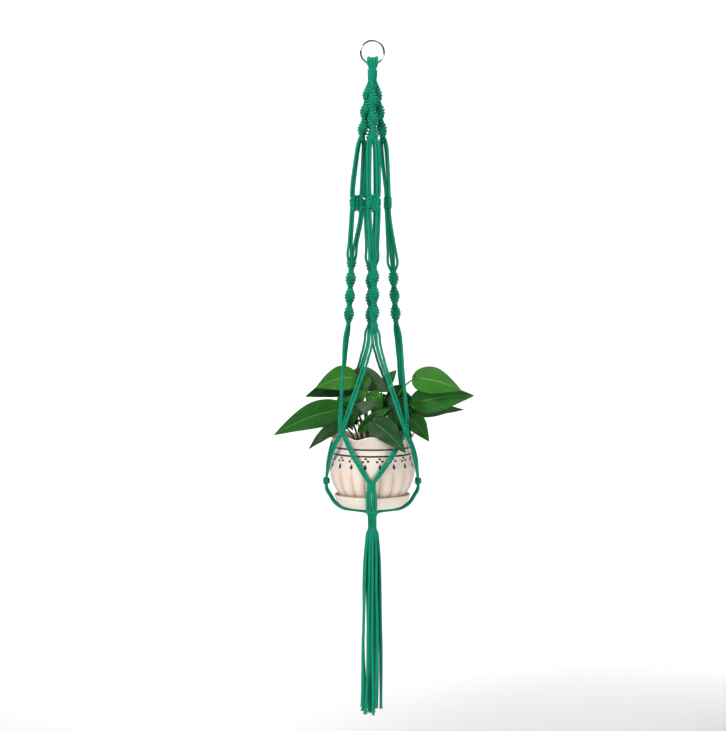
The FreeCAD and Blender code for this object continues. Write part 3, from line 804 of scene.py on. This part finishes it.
@dataclass
class Strands:
    """The plain strands of the legs, the plaited flat knots, the net and its knots."""

    cotton: bpy.types.Material
    style: CordStyle = field(default_factory=CordStyle)
    flat_out: float = 23.8
    flat_z: float = -231.0
    flat_height: float = 25.0
    plait_height: float = 20.0
    plait_steps: int = 5
    plait_reach: float = 11.6
    plait_depth: float = 3.9
    pair_step: float = 2.3
    upper_end: float = -133.0
    corner_out: float = 68.8
    corner_z: float = -579.0
    lower_out: float = 71.4
    lower_z: float = -661.0
    net_out: float = 69.5
    knot_half: float = 4.8
    side_step: float = 1.7
    net_turn: dict[str, float] = field(default_factory=lambda: {"right": 24.0, "left": -24.0})

    def leg_point(self, leg: str, out: float, height: float, offset: float, turn: float, depth: float = 0.0) -> Vector:
        """A strand's place beside its leg, offset along the row and outwards from it."""
        x, y = turned(depth, offset, turn)
        return polar(out + x, y, height, leg_angle(leg))

    def build(self) -> None:
        """Make the leg strands, the flat knots, the net and the knots in it."""
        self.leg_strands()
        for leg in LEGS:
            self.flat_knot(leg)
        self.net()
        for name in CORNERS:
            self.net_knot("corner_knot_" + name, self.corner_out, self.corner_z, corner_angle(name))
        for leg in LEGS:
            self.net_knot("lower_knot_" + leg, self.lower_out, self.lower_z, lower_angle(leg))

    @staticmethod
    def twist(leg: str) -> tuple[float, float, float]:
        """How far the row is turned under the upper spiral, at the flat knot and above the lower spiral."""
        turn = KNOT_TURN[leg]
        return {"right": (34.0, 12.0, 68.0), "left": (-48.0, -76.0, turn), "front": (2.0, 18.0, 28.0)}.get(
            leg, (turn / 3, turn, turn))

    def leg_strands(self) -> None:
        """The strands above and below each flat knot."""
        above, below = [], []
        for leg in LEGS:
            first, turn, last = self.twist(leg)
            top, bottom = self.flat_z + self.flat_height / 2, self.flat_z - self.flat_height / 2
            gather = LOWER_SPIRAL[leg][0]
            for near, far in zip(ROW, PAIRS):
                point = self.leg_point
                above.append([
                    point(leg, 16.2, self.upper_end + 5, near * 2.0, first),
                    point(leg, 16.5, self.upper_end - 1, near * 4.2, first),
                    point(leg, 17.4, self.upper_end - 10, near * 2.4 + far * 2.3, first),
                    point(leg, 20.4, (self.upper_end + top) / 2, near * 1.0 + far * 3.4, (first + turn) / 2),
                    point(leg, 23.2, top + 10, far * 4.2, turn),
                    point(leg, self.flat_out, top - 3, far * 4.0, turn)])
                loop = 1.25 if abs(near) > 1 else 0.9
                below.append([
                    point(leg, self.flat_out, bottom + 3, far * 4.0, turn),
                    point(leg, 24.6, bottom - 12, far * 4.0, turn),
                    point(leg, 30.6, gather + 22, near * 4.2 + far * 0.2, last),
                    point(leg, 31.6, gather + 9, near * 4.4 * loop, last),
                    point(leg, 32.0, gather + 1, near * 3.2 * loop, last),
                    point(leg, 32.2, gather - 5, near * 1.3, last)])
        Piece("upper_strands", cord_mesh(above, self.style), Body.HANGER, Slot.CORD, self.cotton,
              ("upper_cords",)).finish()
        Piece("middle_strands", cord_mesh(below, self.style), Body.HANGER, Slot.CORD, self.cotton,
              ("middle_cords",)).finish()

    def flat_knot(self, leg: str) -> None:
        """A flat plait of four pairs: each goes from edge to edge, over and under the others in turn."""
        over = (0, 1, -1, 1, 0, -1, 1, -1)
        routes = []
        for strand in range(4):
            for half in (-1, 1):
                route = []
                for index in range(-1, self.plait_steps + 2):
                    held = min(max(index, 0), self.plait_steps)
                    phase = (2 * strand + held) % len(over)
                    wave = 1.0 - abs(phase / len(over) * 4 - 2.0)
                    share = 0.5 - held / self.plait_steps
                    height = self.flat_z + self.plait_height * share + half * self.pair_step
                    reach, depth = self.plait_reach * (1.04 - 0.8 * share ** 2), over[phase] * self.plait_depth
                    if held != index:             # the end tucks back inside
                        height += 3.4 if index > 0 else -3.4
                        reach, depth = reach * 0.7, 0.0
                    route.append(self.leg_point(leg, self.flat_out, height, -wave * reach,
                                                self.twist(leg)[1], depth))
                routes.append(route)
        Piece("flat_knot_%s_plait" % leg, cord_mesh(routes, self.style, [4.0] * 8), Body.HANGER, Slot.CORD,
              self.cotton, ("flat_knot_" + leg,)).finish()

    def net(self) -> None:
        """Sixteen strands from the lower spirals to the bottom wrap."""
        for leg in LEGS:
            routes = []
            for side in (-1, 1):
                corner = corner_angle(CORNERS[(LEGS.index(leg) + (0 if side > 0 else -1)) % len(CORNERS)])
                for place in (0.5, 1.5):
                    near, far = side * place * SPACING, -side * (2.0 - place) * SPACING
                    routes.append(self.cradle(leg, near, far, side, corner)
                                  + self.pot_side(leg, near, far, place, corner)
                                  + self.underside(leg, near, side, place))
            replaced = ("cradle_cords", "net_cords", "base_cords") if leg == LEGS[0] else ()
            Piece("net_strands_" + leg, cord_mesh(routes, self.style, [3.9] * 4), Body.HANGER, Slot.CORD, self.cotton,
                  replaced).finish()

    def cradle(self, leg: str, near: float, far: float, side: int, corner: float) -> list[Vector]:
        """A strand from the foot of its lower spiral out and through its corner knot."""
        top, knots = LOWER_SPIRAL[leg]
        foot = top - knots * HALF_KNOT
        turn = self.net_turn.get(leg, 0.0)
        spread = near * 1.15 + side * 0.6
        route = [self.leg_point(leg, out, foot + rise, across, turn) for out, rise, across in (
            (37.0, 5, near * 0.35), (37.0, -1, near * 0.6), (38.4, -9, spread), (42.0, -30, spread))]
        return route + [polar(self.corner_out + out, far * across, self.corner_z + rise, corner)
                        for out, across, rise in ((-1.6, 1.25, self.knot_half + 9), (0, 0.6, self.knot_half),
                                                  (0, 0.42, 0), (0, 0.6, -self.knot_half))]

    def pot_side(self, leg: str, near: float, far: float, place: float, corner: float) -> list[Vector]:
        """The same strand from its corner knot round the pot's side to just above its lower knot."""
        start = polar(self.corner_out, far, self.corner_z - self.knot_half - 2, corner)
        stop = polar(self.lower_out, near, self.lower_z + self.knot_half + 2, lower_angle(leg))
        first = math.degrees(math.atan2(start.y, start.x))
        last = math.degrees(math.atan2(stop.y, stop.x))
        last += 360.0 * round((first - last) / 360.0)
        bow = self.side_step * (1.9 - place) if leg in self.net_turn else 0.0
        route = []
        for run in range(1, 6):
            share = run / 6
            arc = math.sin(math.pi * share)
            height = start.z + (stop.z - start.z) * share + 2.2 * (1.0 - place) * arc
            route.append(polar(self.net_out + bow * arc, 0, height, first + (last - first) * share))
        return route

    def underside(self, leg: str, near: float, side: int, place: float) -> list[Vector]:
        """The same strand through its lower knot and under the saucer to the bottom wrap."""
        there = lower_angle(leg)
        outer = self.side_step * place if leg in self.net_turn else 0.0
        apart = near * 0.9 + side * 0.7
        knot = [polar(self.lower_out, near * across, self.lower_z + rise, there)
                for across, rise in ((0.62, self.knot_half), (0.42, 0), (0.62, -self.knot_half))]
        return knot + [polar(out, across, height, there) for out, across, height in (
            (69.6 + outer, apart, -674.0), (63.6 + outer, apart, -683.0), (57.0 + outer, apart, -695.0),
            (46.0, near * 0.9 + side * 0.3, -703.0 - 0.5 * outer), (33.0, near * 0.95, -705.8),
            (18.0, near * 0.8, -707.6), (8.0, near * 0.55, -709.6), (4.6, near * 0.4, -716.0),
            (4.2, near * 0.35, -722.0))]

    def net_knot(self, name: str, out: float, height: float, angle: float) -> None:
        """A square knot: two half knots round the four strands, the second one turned back."""
        winding = Winding(5.0, 3.3, 4.0)

        def centre(share: float) -> Vector:
            return Vector((out, 0, height + 3.6 - share * 3.6))

        routes = winding.routes(centre, 2, 90.0, 0.0, angle, lambda share: 1.0, 3.6)
        Piece(name + "_cord", cord_mesh(routes, self.style, [4.0, 4.0]), Body.HANGER, Slot.CORD, self.cotton,
              (name,)).finish()


@dataclass
class Gatherings:
    """The folds over the ring, the two wraps and the strands that leave them."""

    cotton: bpy.types.Material
    style: CordStyle = field(default_factory=CordStyle)
    ring_radius: float = 17.9
    wrap_top: float = -24.0
    wrap_length: float = 18.5
    wrap_radius: float = 7.4
    bottom_top: float = -710.0
    bottom_length: float = 27.0
    bottom_radius: float = 6.8
    turn_pitch: float = 3.8

    def build(self) -> None:
        """Make the folds, both wraps and both necks."""
        self.folds()
        self.wrap("top_wrap", Body.GATHERING, self.wrap_top, self.wrap_length, self.wrap_radius)
        self.wrap("bottom_wrap", Body.HANGER, self.bottom_top, self.bottom_length + 1.5, self.bottom_radius)
        self.leg_neck()
        self.tassel_neck()

    def folds(self) -> None:
        """Eight cords folded over the wire, in two layers of four."""
        routes = []
        for layer, reach in enumerate((4.45, 8.4)):
            for index in range(4):
                x = (index - 1.5) * 4.3 + (0.5 if layer else 0.0)
                wire_z = -math.sqrt(self.ring_radius ** 2 - x ** 2)
                inner = 0.42 + 0.16 * layer
                side = []
                for y, z in ((1.0, wire_z - 1.0), (1.0, wire_z + 2.0), (0.86, wire_z + reach * 0.86)):
                    side.append((y * reach, z))
                low = [(reach * 0.62, wire_z - 6.5), (3.0 + layer * 1.2, self.wrap_top - 5)]
                route = [Vector((x * inner, -y, z)) for y, z in reversed(low)]
                route += [Vector((x, -y, z)) for y, z in side]
                route.append(Vector((x, 0, wire_z + reach * 1.13)))
                route += [Vector((x, y, z)) for y, z in reversed(side)]
                route += [Vector((x * inner, y, z)) for y, z in low]
                routes.append(route)
        Piece("ring_folds_cord", cord_mesh(routes, self.style), Body.GATHERING, Slot.CORD, self.cotton,
              ("ring_folds",)).finish()

    def wrap(self, name: str, body: Body, top: float, length: float, radius: float) -> None:
        """A cord wound round the strands, both ends tucked in, over a core of the strands inside."""
        centre_radius = radius - self.style.diameter / 2
        turns = (length - self.style.diameter) / self.turn_pitch
        count = round(turns * 12)
        route = [Vector((0.0, 2.0, top - 5.0))]
        for index in range(count + 1):
            angle = 2 * math.pi * index / 12 + 1.2
            drop = self.style.diameter / 2 + self.turn_pitch * index / 12
            grow = 1.09 * centre_radius
            route.append(Vector((grow * math.cos(angle), grow * math.sin(angle), top - drop)))
        route.append(Vector((0.0, -2.0, top - length + 5.0)))
        core = [Vector((0, 0, top - 1.5)), Vector((0.05, 0, top - length / 2)), Vector((0, 0, top - length + 1.5))]
        mesh = cord_mesh([route, core], self.style, [self.style.diameter, 2 * centre_radius])
        Piece(name + "_cord", mesh, body, Slot.CORD, self.cotton, (name,)).finish()

    def leg_neck(self) -> None:
        """The sixteen strands that leave the top wrap for the four legs."""
        routes = []
        for leg in LEGS:
            for out, across in ((1.6, -0.6), (3.4, -2.1), (3.4, 2.1), (4.9, 0.0)):
                routes.append([polar(out * 0.8, across * 0.8, -36.0, leg_angle(leg)),
                               polar(out, across, -42.0, leg_angle(leg)),
                               polar(out + 1.6, across, -50.0, leg_angle(leg)),
                               polar(out + 2.4, across, -57.0, leg_angle(leg))])
        mesh = cord_mesh(routes, self.style, [3.6] * 16)
        piece = Piece("leg_neck_strands", mesh, Body.HANGER, Slot.CORD, self.cotton, ("leg_neck",))
        piece.bridge()

    def tassel_neck(self) -> None:
        """The strands between the bottom wrap and the tassel."""
        routes = []
        for first, second, *_ in Tassel.routes().values():
            inside = Vector((first.x * 0.5, first.y * 0.5, -731.0))
            down = first + (second - first) * 0.3
            routes.append([inside, Vector((first.x * 0.62, first.y * 0.62, -737.5)), first, down])
        mesh = cord_mesh(routes, self.style, [4.1] * len(routes))
        piece = Piece("tassel_neck_strands", mesh, Body.HANGER, Slot.CORD, self.cotton)
        piece.bridge()


# ---------------------------------------------------------------- pot, saucer, soil
def smooth_outline(points: Sequence[tuple[float, float]], step: float) -> list[tuple[float, float]]:
    """Points about step apart on a smooth line through the given ones (radius, height)."""
    made = []
    padded = [points[0], *points, points[-1]]
    for a, b, c, d in zip(padded, padded[1:], padded[2:], padded[3:]):
        count = max(1, round(math.dist(b, c) / step))
        for index in range(count):
            share = index / count
            made.append(tuple(
                0.5 * (2 * q + (r - p) * share + (2 * p - 5 * q + 4 * r - s) * share ** 2
                       + (3 * q - p - 3 * r + s) * share ** 3)
                for p, q, r, s in zip(a, b, c, d)))
    made.append(points[-1])
    return made


def spun(outline: Sequence[tuple[float, float]], steps: int) -> bmesh.types.BMesh:
    """A shell turned about Z from its outline of radius and height."""
    bm = bmesh.new()
    verts = [bm.verts.new((radius, 0, height)) for radius, height in outline]
    edges = [bm.edges.new(pair) for pair in zip(verts, verts[1:])]
    bmesh.ops.spin(bm, geom=verts + edges, cent=(0, 0, 0), axis=(0, 0, 1), angle=2 * math.pi, steps=steps,
                   use_merge=True)
    bmesh.ops.remove_doubles(bm, verts=bm.verts, dist=0.0005)
    bmesh.ops.recalc_face_normals(bm, faces=bm.faces)
    return bm


def turn_uv(bm: bmesh.types.BMesh) -> None:
    """U is the share of a turn round Z, V the height in millimetres; no face spans the seam."""
    layer = bm.loops.layers.uv.new("UVMap")
    for face in bm.faces:
        middle = face.calc_center_median()
        base = math.atan2(middle.y, middle.x)
        for loop in face.loops:
            angle = math.atan2(loop.vert.co.y, loop.vert.co.x)
            angle += 2 * math.pi * round((base - angle) / (2 * math.pi))
            loop[layer].uv = (angle / (2 * math.pi), loop.vert.co.z)


@dataclass
class Pot:
    """A round-bellied pot with lobes, fine ridges, a scalloped rim and trailed black marks."""

    glaze: bpy.types.Material
    saucer_glaze: bpy.types.Material
    black: bpy.types.Material
    soil: bpy.types.Material
    base_z: float = -698.2
    wall: float = 3.5
    lobes: int = 18
    scallops: int = 8
    scallop_depth: float = 5.0
    steps: int = 360
    lobe_depth: float = 3.0
    lobe_top: float = 62.0
    bead_band: tuple[float, float] = (83.0, 89.5)
    beads: int = 60
    bead_depth: float = 0.45
    ridge_band: tuple[float, float] = (10.0, 76.0)
    ridge_pitch: float = 2.3
    ridge_depth: float = 0.32
    rim_from: float = 92.0        # the scallops grow from here up
    ribs_band: tuple[float, float] = (93.0, 108.5)
    outer: tuple = ((40.0, 0.0), (45.4, 4.5), (52.5, 17.0), (59.6, 28.0), (63.6, 38.0), (66.2, 50.0), (65.9, 60.0),
                    (63.4, 71.0), (60.6, 82.0), (60.0, 90.0), (61.6, 100.0), (65.0, 110.2))
    lines: tuple = (81.0, 91.0)
    line_width: float = 2.7

    # A group of marks: place beside the group's middle, height, half width, half height, taper.
    MARKS = ((-3.9, 73.0, 2.1, 1.7, 0.0), (0.3, 77.3, 2.3, 1.6, 0.0), (4.1, 73.8, 2.15, 1.7, 0.0),
             (0.3, 65.2, 2.6, 4.2, 0.6))

    def radius(self, height: float) -> float:
        """The pot's outer radius at a height above its base."""
        for (low_r, low_h), (high_r, high_h) in zip(self.outer, self.outer[1:]):
            if low_h <= height <= high_h:
                share = (height - low_h) / (high_h - low_h)
                share = share * share * (3 - 2 * share) * 0.3 + share * 0.7
                return low_r + (high_r - low_r) * share
        return self.outer[-1][0]

    def groove(self, angle: float, height: float) -> float:
        """How deep the hollow between lobes is, 0 to 1, at a place on the pot."""
        fade = min(1.0, max(0.0, (height - 1.0) / 8.0)) * min(1.0, max(0.0, (self.lobe_top - height) / 14.0))
        lobe = abs(math.sin(self.lobes * angle / 2))
        return fade * (1.0 - lobe ** 0.5)

    def build(self) -> None:
        """Make the pot, its marks, the saucer and the soil."""
        self.body()
        self.marks()
        self.saucer()
        self.soil_top()

    def body(self) -> None:
        """The pot's shell, turned and then pressed into lobes, ridges and scallops."""
        outer = smooth_outline(self.outer, 0.85)
        rim = self.outer[-1]
        lip = [(rim[0] - 0.6, rim[1] + 0.9), (rim[0] - 1.9, rim[1] + 1.1), (rim[0] - 3.0, rim[1] + 0.4)]
        inner = [(radius - self.wall, height) for radius, height in reversed(self.outer[1:])]
        inner = smooth_outline(inner + [(0.01, self.wall)], 4.0)
        foot = [(0.01, 0.6), (34.0, 0.6), (36.0, 0.0)]
        bm = spun(foot + outer + lip + inner[1:], self.steps)
        hollow = bm.verts.layers.float.new("hollow")
        edge = bm.verts.layers.float.new("rim")
        top = rim[1]
        for vert in bm.verts:
            x, y, z = vert.co
            radius = math.hypot(x, y)
            if radius < 1.0:
                continue
            angle = math.atan2(y, x)
            outside = radius > self.radius(min(z, top)) - self.wall * 0.6
            depth = 0.0
            if outside:
                cut = self.groove(angle, z)
                # the depth between the lobes also sets how much painted shade the glaze takes there
                vert[hollow] = cut
                depth = self.lobe_depth * cut + self.relief(angle, z, cut)
            else:
                # painted shade: the whole inside is marked as lying in shade
                vert[hollow] = 0.75
            if z > self.rim_from:
                share = (z - self.rim_from) / (top - self.rim_from)
                wave = 0.5 + 0.5 * math.cos(self.scallops * angle)
                vert.co.z -= self.scallop_depth * (1 - wave ** 0.75) * share ** 1.5
                depth -= 0.8 * (wave - 0.5) * share
            ribbed = z > self.ribs_band[0] and (z < self.ribs_band[1] or not outside)
            vert[edge] = 1.0 if ribbed else 0.0
            vert.co.x -= depth * x / radius
            vert.co.y -= depth * y / radius
        turn_uv(bm)
        mesh = self.to_mesh(bm, "pot", self.base_z)
        Piece("pot_shell", mesh, Body.PLANTER, Slot.GLAZE, self.glaze, ("pot",)).finish()

    def relief(self, angle: float, height: float, cut: float) -> float:
        """How deep the surface lies for the row of beads at the neck and the belly's fine ridges."""
        depth = 0.0
        if self.bead_band[0] < height < self.bead_band[1]:
            bead = math.cos(self.beads * angle) * math.cos(math.pi * (height - 86.2) / 3.2)
            depth -= self.bead_depth * max(0.0, bead)
        if self.ridge_band[0] < height < self.ridge_band[1]:
            wave = 0.5 - 0.5 * math.cos(2 * math.pi * height / self.ridge_pitch)
            depth += self.ridge_depth * wave * (1 - cut)
        return depth

    @staticmethod
    def to_mesh(bm: bmesh.types.BMesh, name: str, lift: float) -> bpy.types.Mesh:
        """Write the bmesh to a mesh, lifted to its place."""
        bmesh.ops.translate(bm, verts=bm.verts, vec=(0, 0, lift))
        mesh = bpy.data.meshes.new(name)
        bm.to_mesh(mesh)
        bm.free()
        return mesh

    def marks(self) -> None:
        """Two lines round the neck, and three dots over a drop above each hollow."""
        bm = bmesh.new()
        for height in self.lines:
            half = self.line_width / 2
            ring = [(self.radius(height + step * half) + 0.28 * (1 - abs(step)) + 0.02, height + step * half)
                    for step in (-1.0, -0.6, 0.0, 0.6, 1.0)]
            line = spun(ring, 180)
            carrier = bpy.data.meshes.new("line")
            line.to_mesh(carrier)
            line.free()
            bm.from_mesh(carrier)
        for index in range(self.lobes):
            angle = 2 * math.pi * index / self.lobes
            for mark in self.MARKS:
                self.blob(bm, angle, *mark)
        bmesh.ops.recalc_face_normals(bm, faces=bm.faces)
        mesh = self.to_mesh(bm, "marks", self.base_z)
        Piece("pot_marks", mesh, Body.PLANTER, Slot.GLAZE, self.black).finish()

    def blob(self, bm: bmesh.types.BMesh, angle: float, side: float, height: float, wide: float, tall: float,
             taper: float) -> None:
        """One trailed dot; with a taper its upper end draws out to a point."""
        made = bmesh.ops.create_uvsphere(bm, u_segments=14, v_segments=8, radius=1.0)["verts"]
        for vert in made:
            x, y, z = vert.co
            narrow = 1.0 - taper * max(-0.15, z + 0.25) / 1.25
            across = side + x * wide * max(0.05, narrow)
            up = height + z * tall
            out = self.radius(up) + y * 0.42 - self.lobe_depth * self.groove(angle, up) + 0.05
            turn = angle + across / self.radius(height)
            vert.co = (out * math.cos(turn), out * math.sin(turn), up)

    def saucer(self) -> None:
        """A plain round saucer with a rolled rim."""
        base = box_mm("saucer")[0].z
        outer = smooth_outline(((42.0, 0.0), (48.6, 2.6), (54.4, 8.2), (57.6, 14.0), (59.3, 18.6)), 1.0)
        rim = [(59.5, 19.3), (59.0, 20.0), (58.0, 20.2), (57.1, 19.7)]
        inner = smooth_outline(((56.6, 18.6), (54.9, 14.0), (51.6, 9.0), (46.4, 4.6), (41.4, 2.9)), 1.2)
        bm = spun([(0.01, 0.9), (38.0, 0.9), (39.4, 0.0)] + outer + rim + inner + [(0.01, 2.7)], 180)
        turn_uv(bm)
        mesh = self.to_mesh(bm, "saucer", base)
        Piece("saucer_shell", mesh, Body.HANGER, Slot.GLAZE, self.saucer_glaze, ("saucer",)).finish()

    def soil_top(self) -> None:
        """Crumbly soil filling the pot to below its rim."""
        low, high = box_mm("soil")
        chance = random.Random(9)
        outline = [(0.01, 0.0), (34.0, 0.0)]
        outline += [(self.radius(height) - self.wall - 0.8, height - 3.8)
                    for height in (12, 24, 38, 52, 64, 78, 90, 96)]
        top = high.z - low.z
        outline += [(56.0, top)] + [(56.0 - step * 2.0, top) for step in range(1, 28)] + [(0.01, top)]
        bm = spun(outline, 96)
        for vert in bm.verts:
            if vert.co.z > top - 1.0:
                vert.co.z += chance.uniform(-1.0, 1.1)
        mesh = self.to_mesh(bm, "soil", low.z)
        Piece("soil_fill", mesh, Body.PLANTER, Slot.SOIL, self.soil, ("soil",)).finish()


# ---------------------------------------------------------------- plant
@dataclass(frozen=True)
class Blade:
    """One leaf: where it starts and ends, how it lies, and where its stalk leaves the soil."""

    base: tuple[float, float, float]
    tip: tuple[float, float, float]
    width: float
    roll: float
    root: tuple[float, float]
    arch: float = 0.10            # how far the midrib rises between its ends, as a share of its length
    fold: float = 0.16            # how far the halves rise from the midrib, as a share of the half width
    # which copy of the leaf finish: the lit copy carries painted light for the upper leaves, the deep copy painted
    # shade for the lower and back ones, mid lies between, under is the paler underside
    tone: str = "mid"


@dataclass
class Plant:
    """The leaves and their stalks."""

    shades_and_tones: dict[str, bpy.types.Material]
    soil_z: float = -600.3
    stalk: float = 2.4
    thickness: float = 0.55
    rows: int = 30
    columns: int = 14

    LEAVES = {
        "leaf_left_long": [Blade((-47, -8, -549), (-152, -16, -588), 43, 8, (-20, -8), 0.10, 0.14, "mid")],
        "leaf_left_low": [Blade((-50, -26, -573), (-98, -32, -608), 22, 30, (-24, -20), 0.12, 0.2, "deep")],
        "leaves_upper_left": [Blade((-34, 14, -513), (-104, 12, -531), 32, -12, (-14, 12), 0.08, 0.16, "deep"),
                              Blade((-26, 3, -500), (-88, 2, -516), 40, 14, (-8, 4), 0.12, 0.12, "painted_lit"),
                              Blade((-8, 10, -500), (-54, 8, -546), 34, 10, (-8, 10), 0.1, 0.16, "mid")],
        "leaf_centre_tall": [Blade((-30, 20, -498), (29, 14, -524), 40, 12, (-4, 22), 0.10, 0.18, "under")],
        "leaf_back_small": [Blade((18, 25, -514), (38, 26, -490), 18, 0, (8, 22), 0.05, 0.12, "mid"),
                            Blade((30, 22, -520), (58, 20, -548), 30, 0, (10, 20), 0.08, 0.14, "deep")],
        "leaf_right_high": [Blade((66, -12, -500), (138, -14, -520), 44, 10, (18, -6), 0.10, 0.14, "painted_lit")],
        "leaf_right_long": [Blade((64, 2, -540), (158, -2, -528), 44, -14, (22, 4), 0.06, 0.16, "mid")],
        "leaf_right_dark": [Blade((58, 14, -556), (143, 16, -552), 26, 30, (18, 14), 0.06, 0.2, "deep"),
                            Blade((34, 8, -528), (70, 2, -566), 34, 0, (14, 8), 0.08, 0.16, "deep")],
        "leaf_right_hanging": [Blade((58, -8, -560), (88, -12, -599), 30, 0, (30, -6), 0.1, 0.14, "mid")],
        "leaf_front_low": [Blade((0, -48, -564), (50, -80, -609), 40, -25, (4, -42), 0.1, 0.12, "deep"),
                           Blade((30, -34, -552), (60, -44, -590), 28, 10, (14, -30), 0.1, 0.14, "deep")],
        "leaves_centre": [Blade((-19, -40, -580), (30, -30, -544), 18, 0, (-14, -30), 0.12, 0.3, "mid"),
                          Blade((-32, -18, -556), (15, -16, -538), 20, -20, (-4, -14), 0.1, 0.3, "under"),
                          Blade((-34, -4, -542), (-6, -2, -520), 22, 10, (-6, -4), 0.1, 0.2, "painted_lit"),
                          Blade((-26, -24, -546), (-52, -34, -588), 24, 0, (-14, -22), 0.1, 0.16, "deep"),
                          Blade((-2, 2, -524), (14, -4, -562), 26, 0, (0, 2), 0.1, 0.18, "painted_lit"),
                          Blade((44, -22, -530), (24, -30, -572), 26, 0, (22, -16), 0.1, 0.16, "deep"),
                          Blade((-44, 16, -528), (-24, 10, -576), 34, 0, (-16, 16), 0.1, 0.16, "deep"),
                          Blade((16, 22, -530), (8, 20, -582), 34, 0, (6, 26), 0.1, 0.16, "mid"),
                          Blade((-58, 4, -540), (-30, -6, -582), 30, 0, (-20, 0), 0.1, 0.16, "mid"),
                          Blade((48, 12, -552), (30, 8, -590), 30, 0, (20, 10), 0.1, 0.16, "deep")],
    }

    def build(self) -> None:
        """Make a piece for each group of leaves."""
        for label, blades in self.LEAVES.items():
            for index, blade in enumerate(blades):
                name = "%s_blade%s" % (label, "" if len(blades) == 1 else "_%d" % (index + 1))
                replaced = (label,) if index == 0 else ()
                mesh = self.leaf(blade, index + len(label))
                Piece(name, mesh, Body.PLANTER, Slot.LEAF, self.shades_and_tones[blade.tone], replaced).finish()

    def leaf(self, blade: Blade, seed: int) -> bpy.types.Mesh:
        """One blade with its stalk."""
        base, tip = Vector(blade.base), Vector(blade.tip)
        along = tip - base
        length = along.length
        along.normalize()
        across = along.cross(Vector((0, -1, 0))).normalized()
        across = Matrix.Rotation(math.radians(blade.roll), 3, along) @ across
        face_out = along.cross(across).normalized()
        if face_out.y > 0:
            face_out.negate()
        chance = random.Random(seed)
        ripple = chance.uniform(0, 6.28)
        bm = bmesh.new()
        bmesh.ops.create_grid(bm, x_segments=self.rows, y_segments=self.columns, size=0.5)
        uv = bm.loops.layers.uv.new("UVMap")
        for face in bm.faces:
            for loop in face.loops:
                loop[uv].uv = (loop.vert.co.x + 0.5, loop.vert.co.y + 0.5)
        for vert in bm.verts:
            share, side = vert.co.x + 0.5, vert.co.y * 2.0
            half = blade.width * 0.5 * self.outline(share)
            back = 0.07 * abs(side) ** 1.5 * (1 - share) ** 5
            bend = blade.arch * length * math.sin(math.pi * min(1.0, share)) * 0.6
            lift = blade.fold * half * abs(side) ** 1.3
            edge = 0.9 * math.sin(share * 15 + ripple + side) * abs(side) ** 2 * math.sin(math.pi * share)
            vert.co = (base + along * length * (share - back) + across * half * side
                       + face_out * (lift + edge - blade.fold * blade.width * 0.12) + Vector((0, 0, bend)))
        bmesh.ops.recalc_face_normals(bm, faces=bm.faces)
        bmesh.ops.solidify(bm, geom=bm.faces, thickness=self.thickness)
        bmesh.ops.remove_doubles(bm, verts=bm.verts, dist=0.005)
        foot = Vector((blade.root[0], blade.root[1], self.soil_z - 1.0))
        rise = Vector((blade.root[0] + (base.x - blade.root[0]) * 0.35,
                       blade.root[1] + (base.y - blade.root[1]) * 0.35, foot.z + (base.z - foot.z) * 0.72))
        stalk = cord_mesh([[foot, rise, base - along * 3, base + along * length * 0.10 + face_out * -0.6]],
                          CordStyle(self.stalk, 4, 3.0, 1, 9.0, 0.0))
        bm.from_mesh(stalk)
        mesh = bpy.data.meshes.new("leaf")
        bm.to_mesh(mesh)
        bm.free()
        return mesh

    @staticmethod
    def outline(share: float) -> float:
        """Half width of a heart-shaped blade with a drawn-out tip, as a share of the greatest."""
        share = min(1.0, max(0.0, share))
        full = math.sin(math.pi * share ** 0.62) ** 0.75 if 0 < share < 1 else 0.0
        return max(0.012, full * (1 - 0.35 * share ** 3))


# ---------------------------------------------------------------- main
def main() -> None:
    """Dress the frame."""
    logging.basicConfig(level=logging.INFO, format="%(message)s")
    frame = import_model()
    Studio().build()
    cotton = TwistedCotton().make()
    steel = PolishedSteel().make()
    for entry in frame["nodes"]["ring"].material_slots:
        entry.material = steel
    Tassel(cotton).build()
    Gatherings(cotton).build()
    Spirals(cotton).build()
    Strands(cotton).build()
    Pot(CreamGlaze(ribs=150.0).make(), CreamGlaze("satin_cream_saucer", "f0e3d4", "dcc4a8").make(),
        BlackGlaze().make(), PottingSoil().make()).build()
    # Lit, middle and shaded copies of one leaf finish, with the light and shade painted into their colours; under is
    # the paler underside.
    shades_and_tones = {
        "painted_lit": Leaf("waxy_leaf_painted_lit", "3f8a24", "1c6616", "7ab058"),
        "mid": Leaf("waxy_leaf_mid", "24701a", "0e4e0e", "5c9444"),
        "deep": Leaf("waxy_leaf_painted_shade", "144e10", "052f08", "407434"),
        "under": Leaf("waxy_leaf_underside", "52704a", "345636", "7f9870", 0.55),
    }
    Plant({name: finish.make() for name, finish in shades_and_tones.items()}).build()


if __name__ == "__main__":
    main()
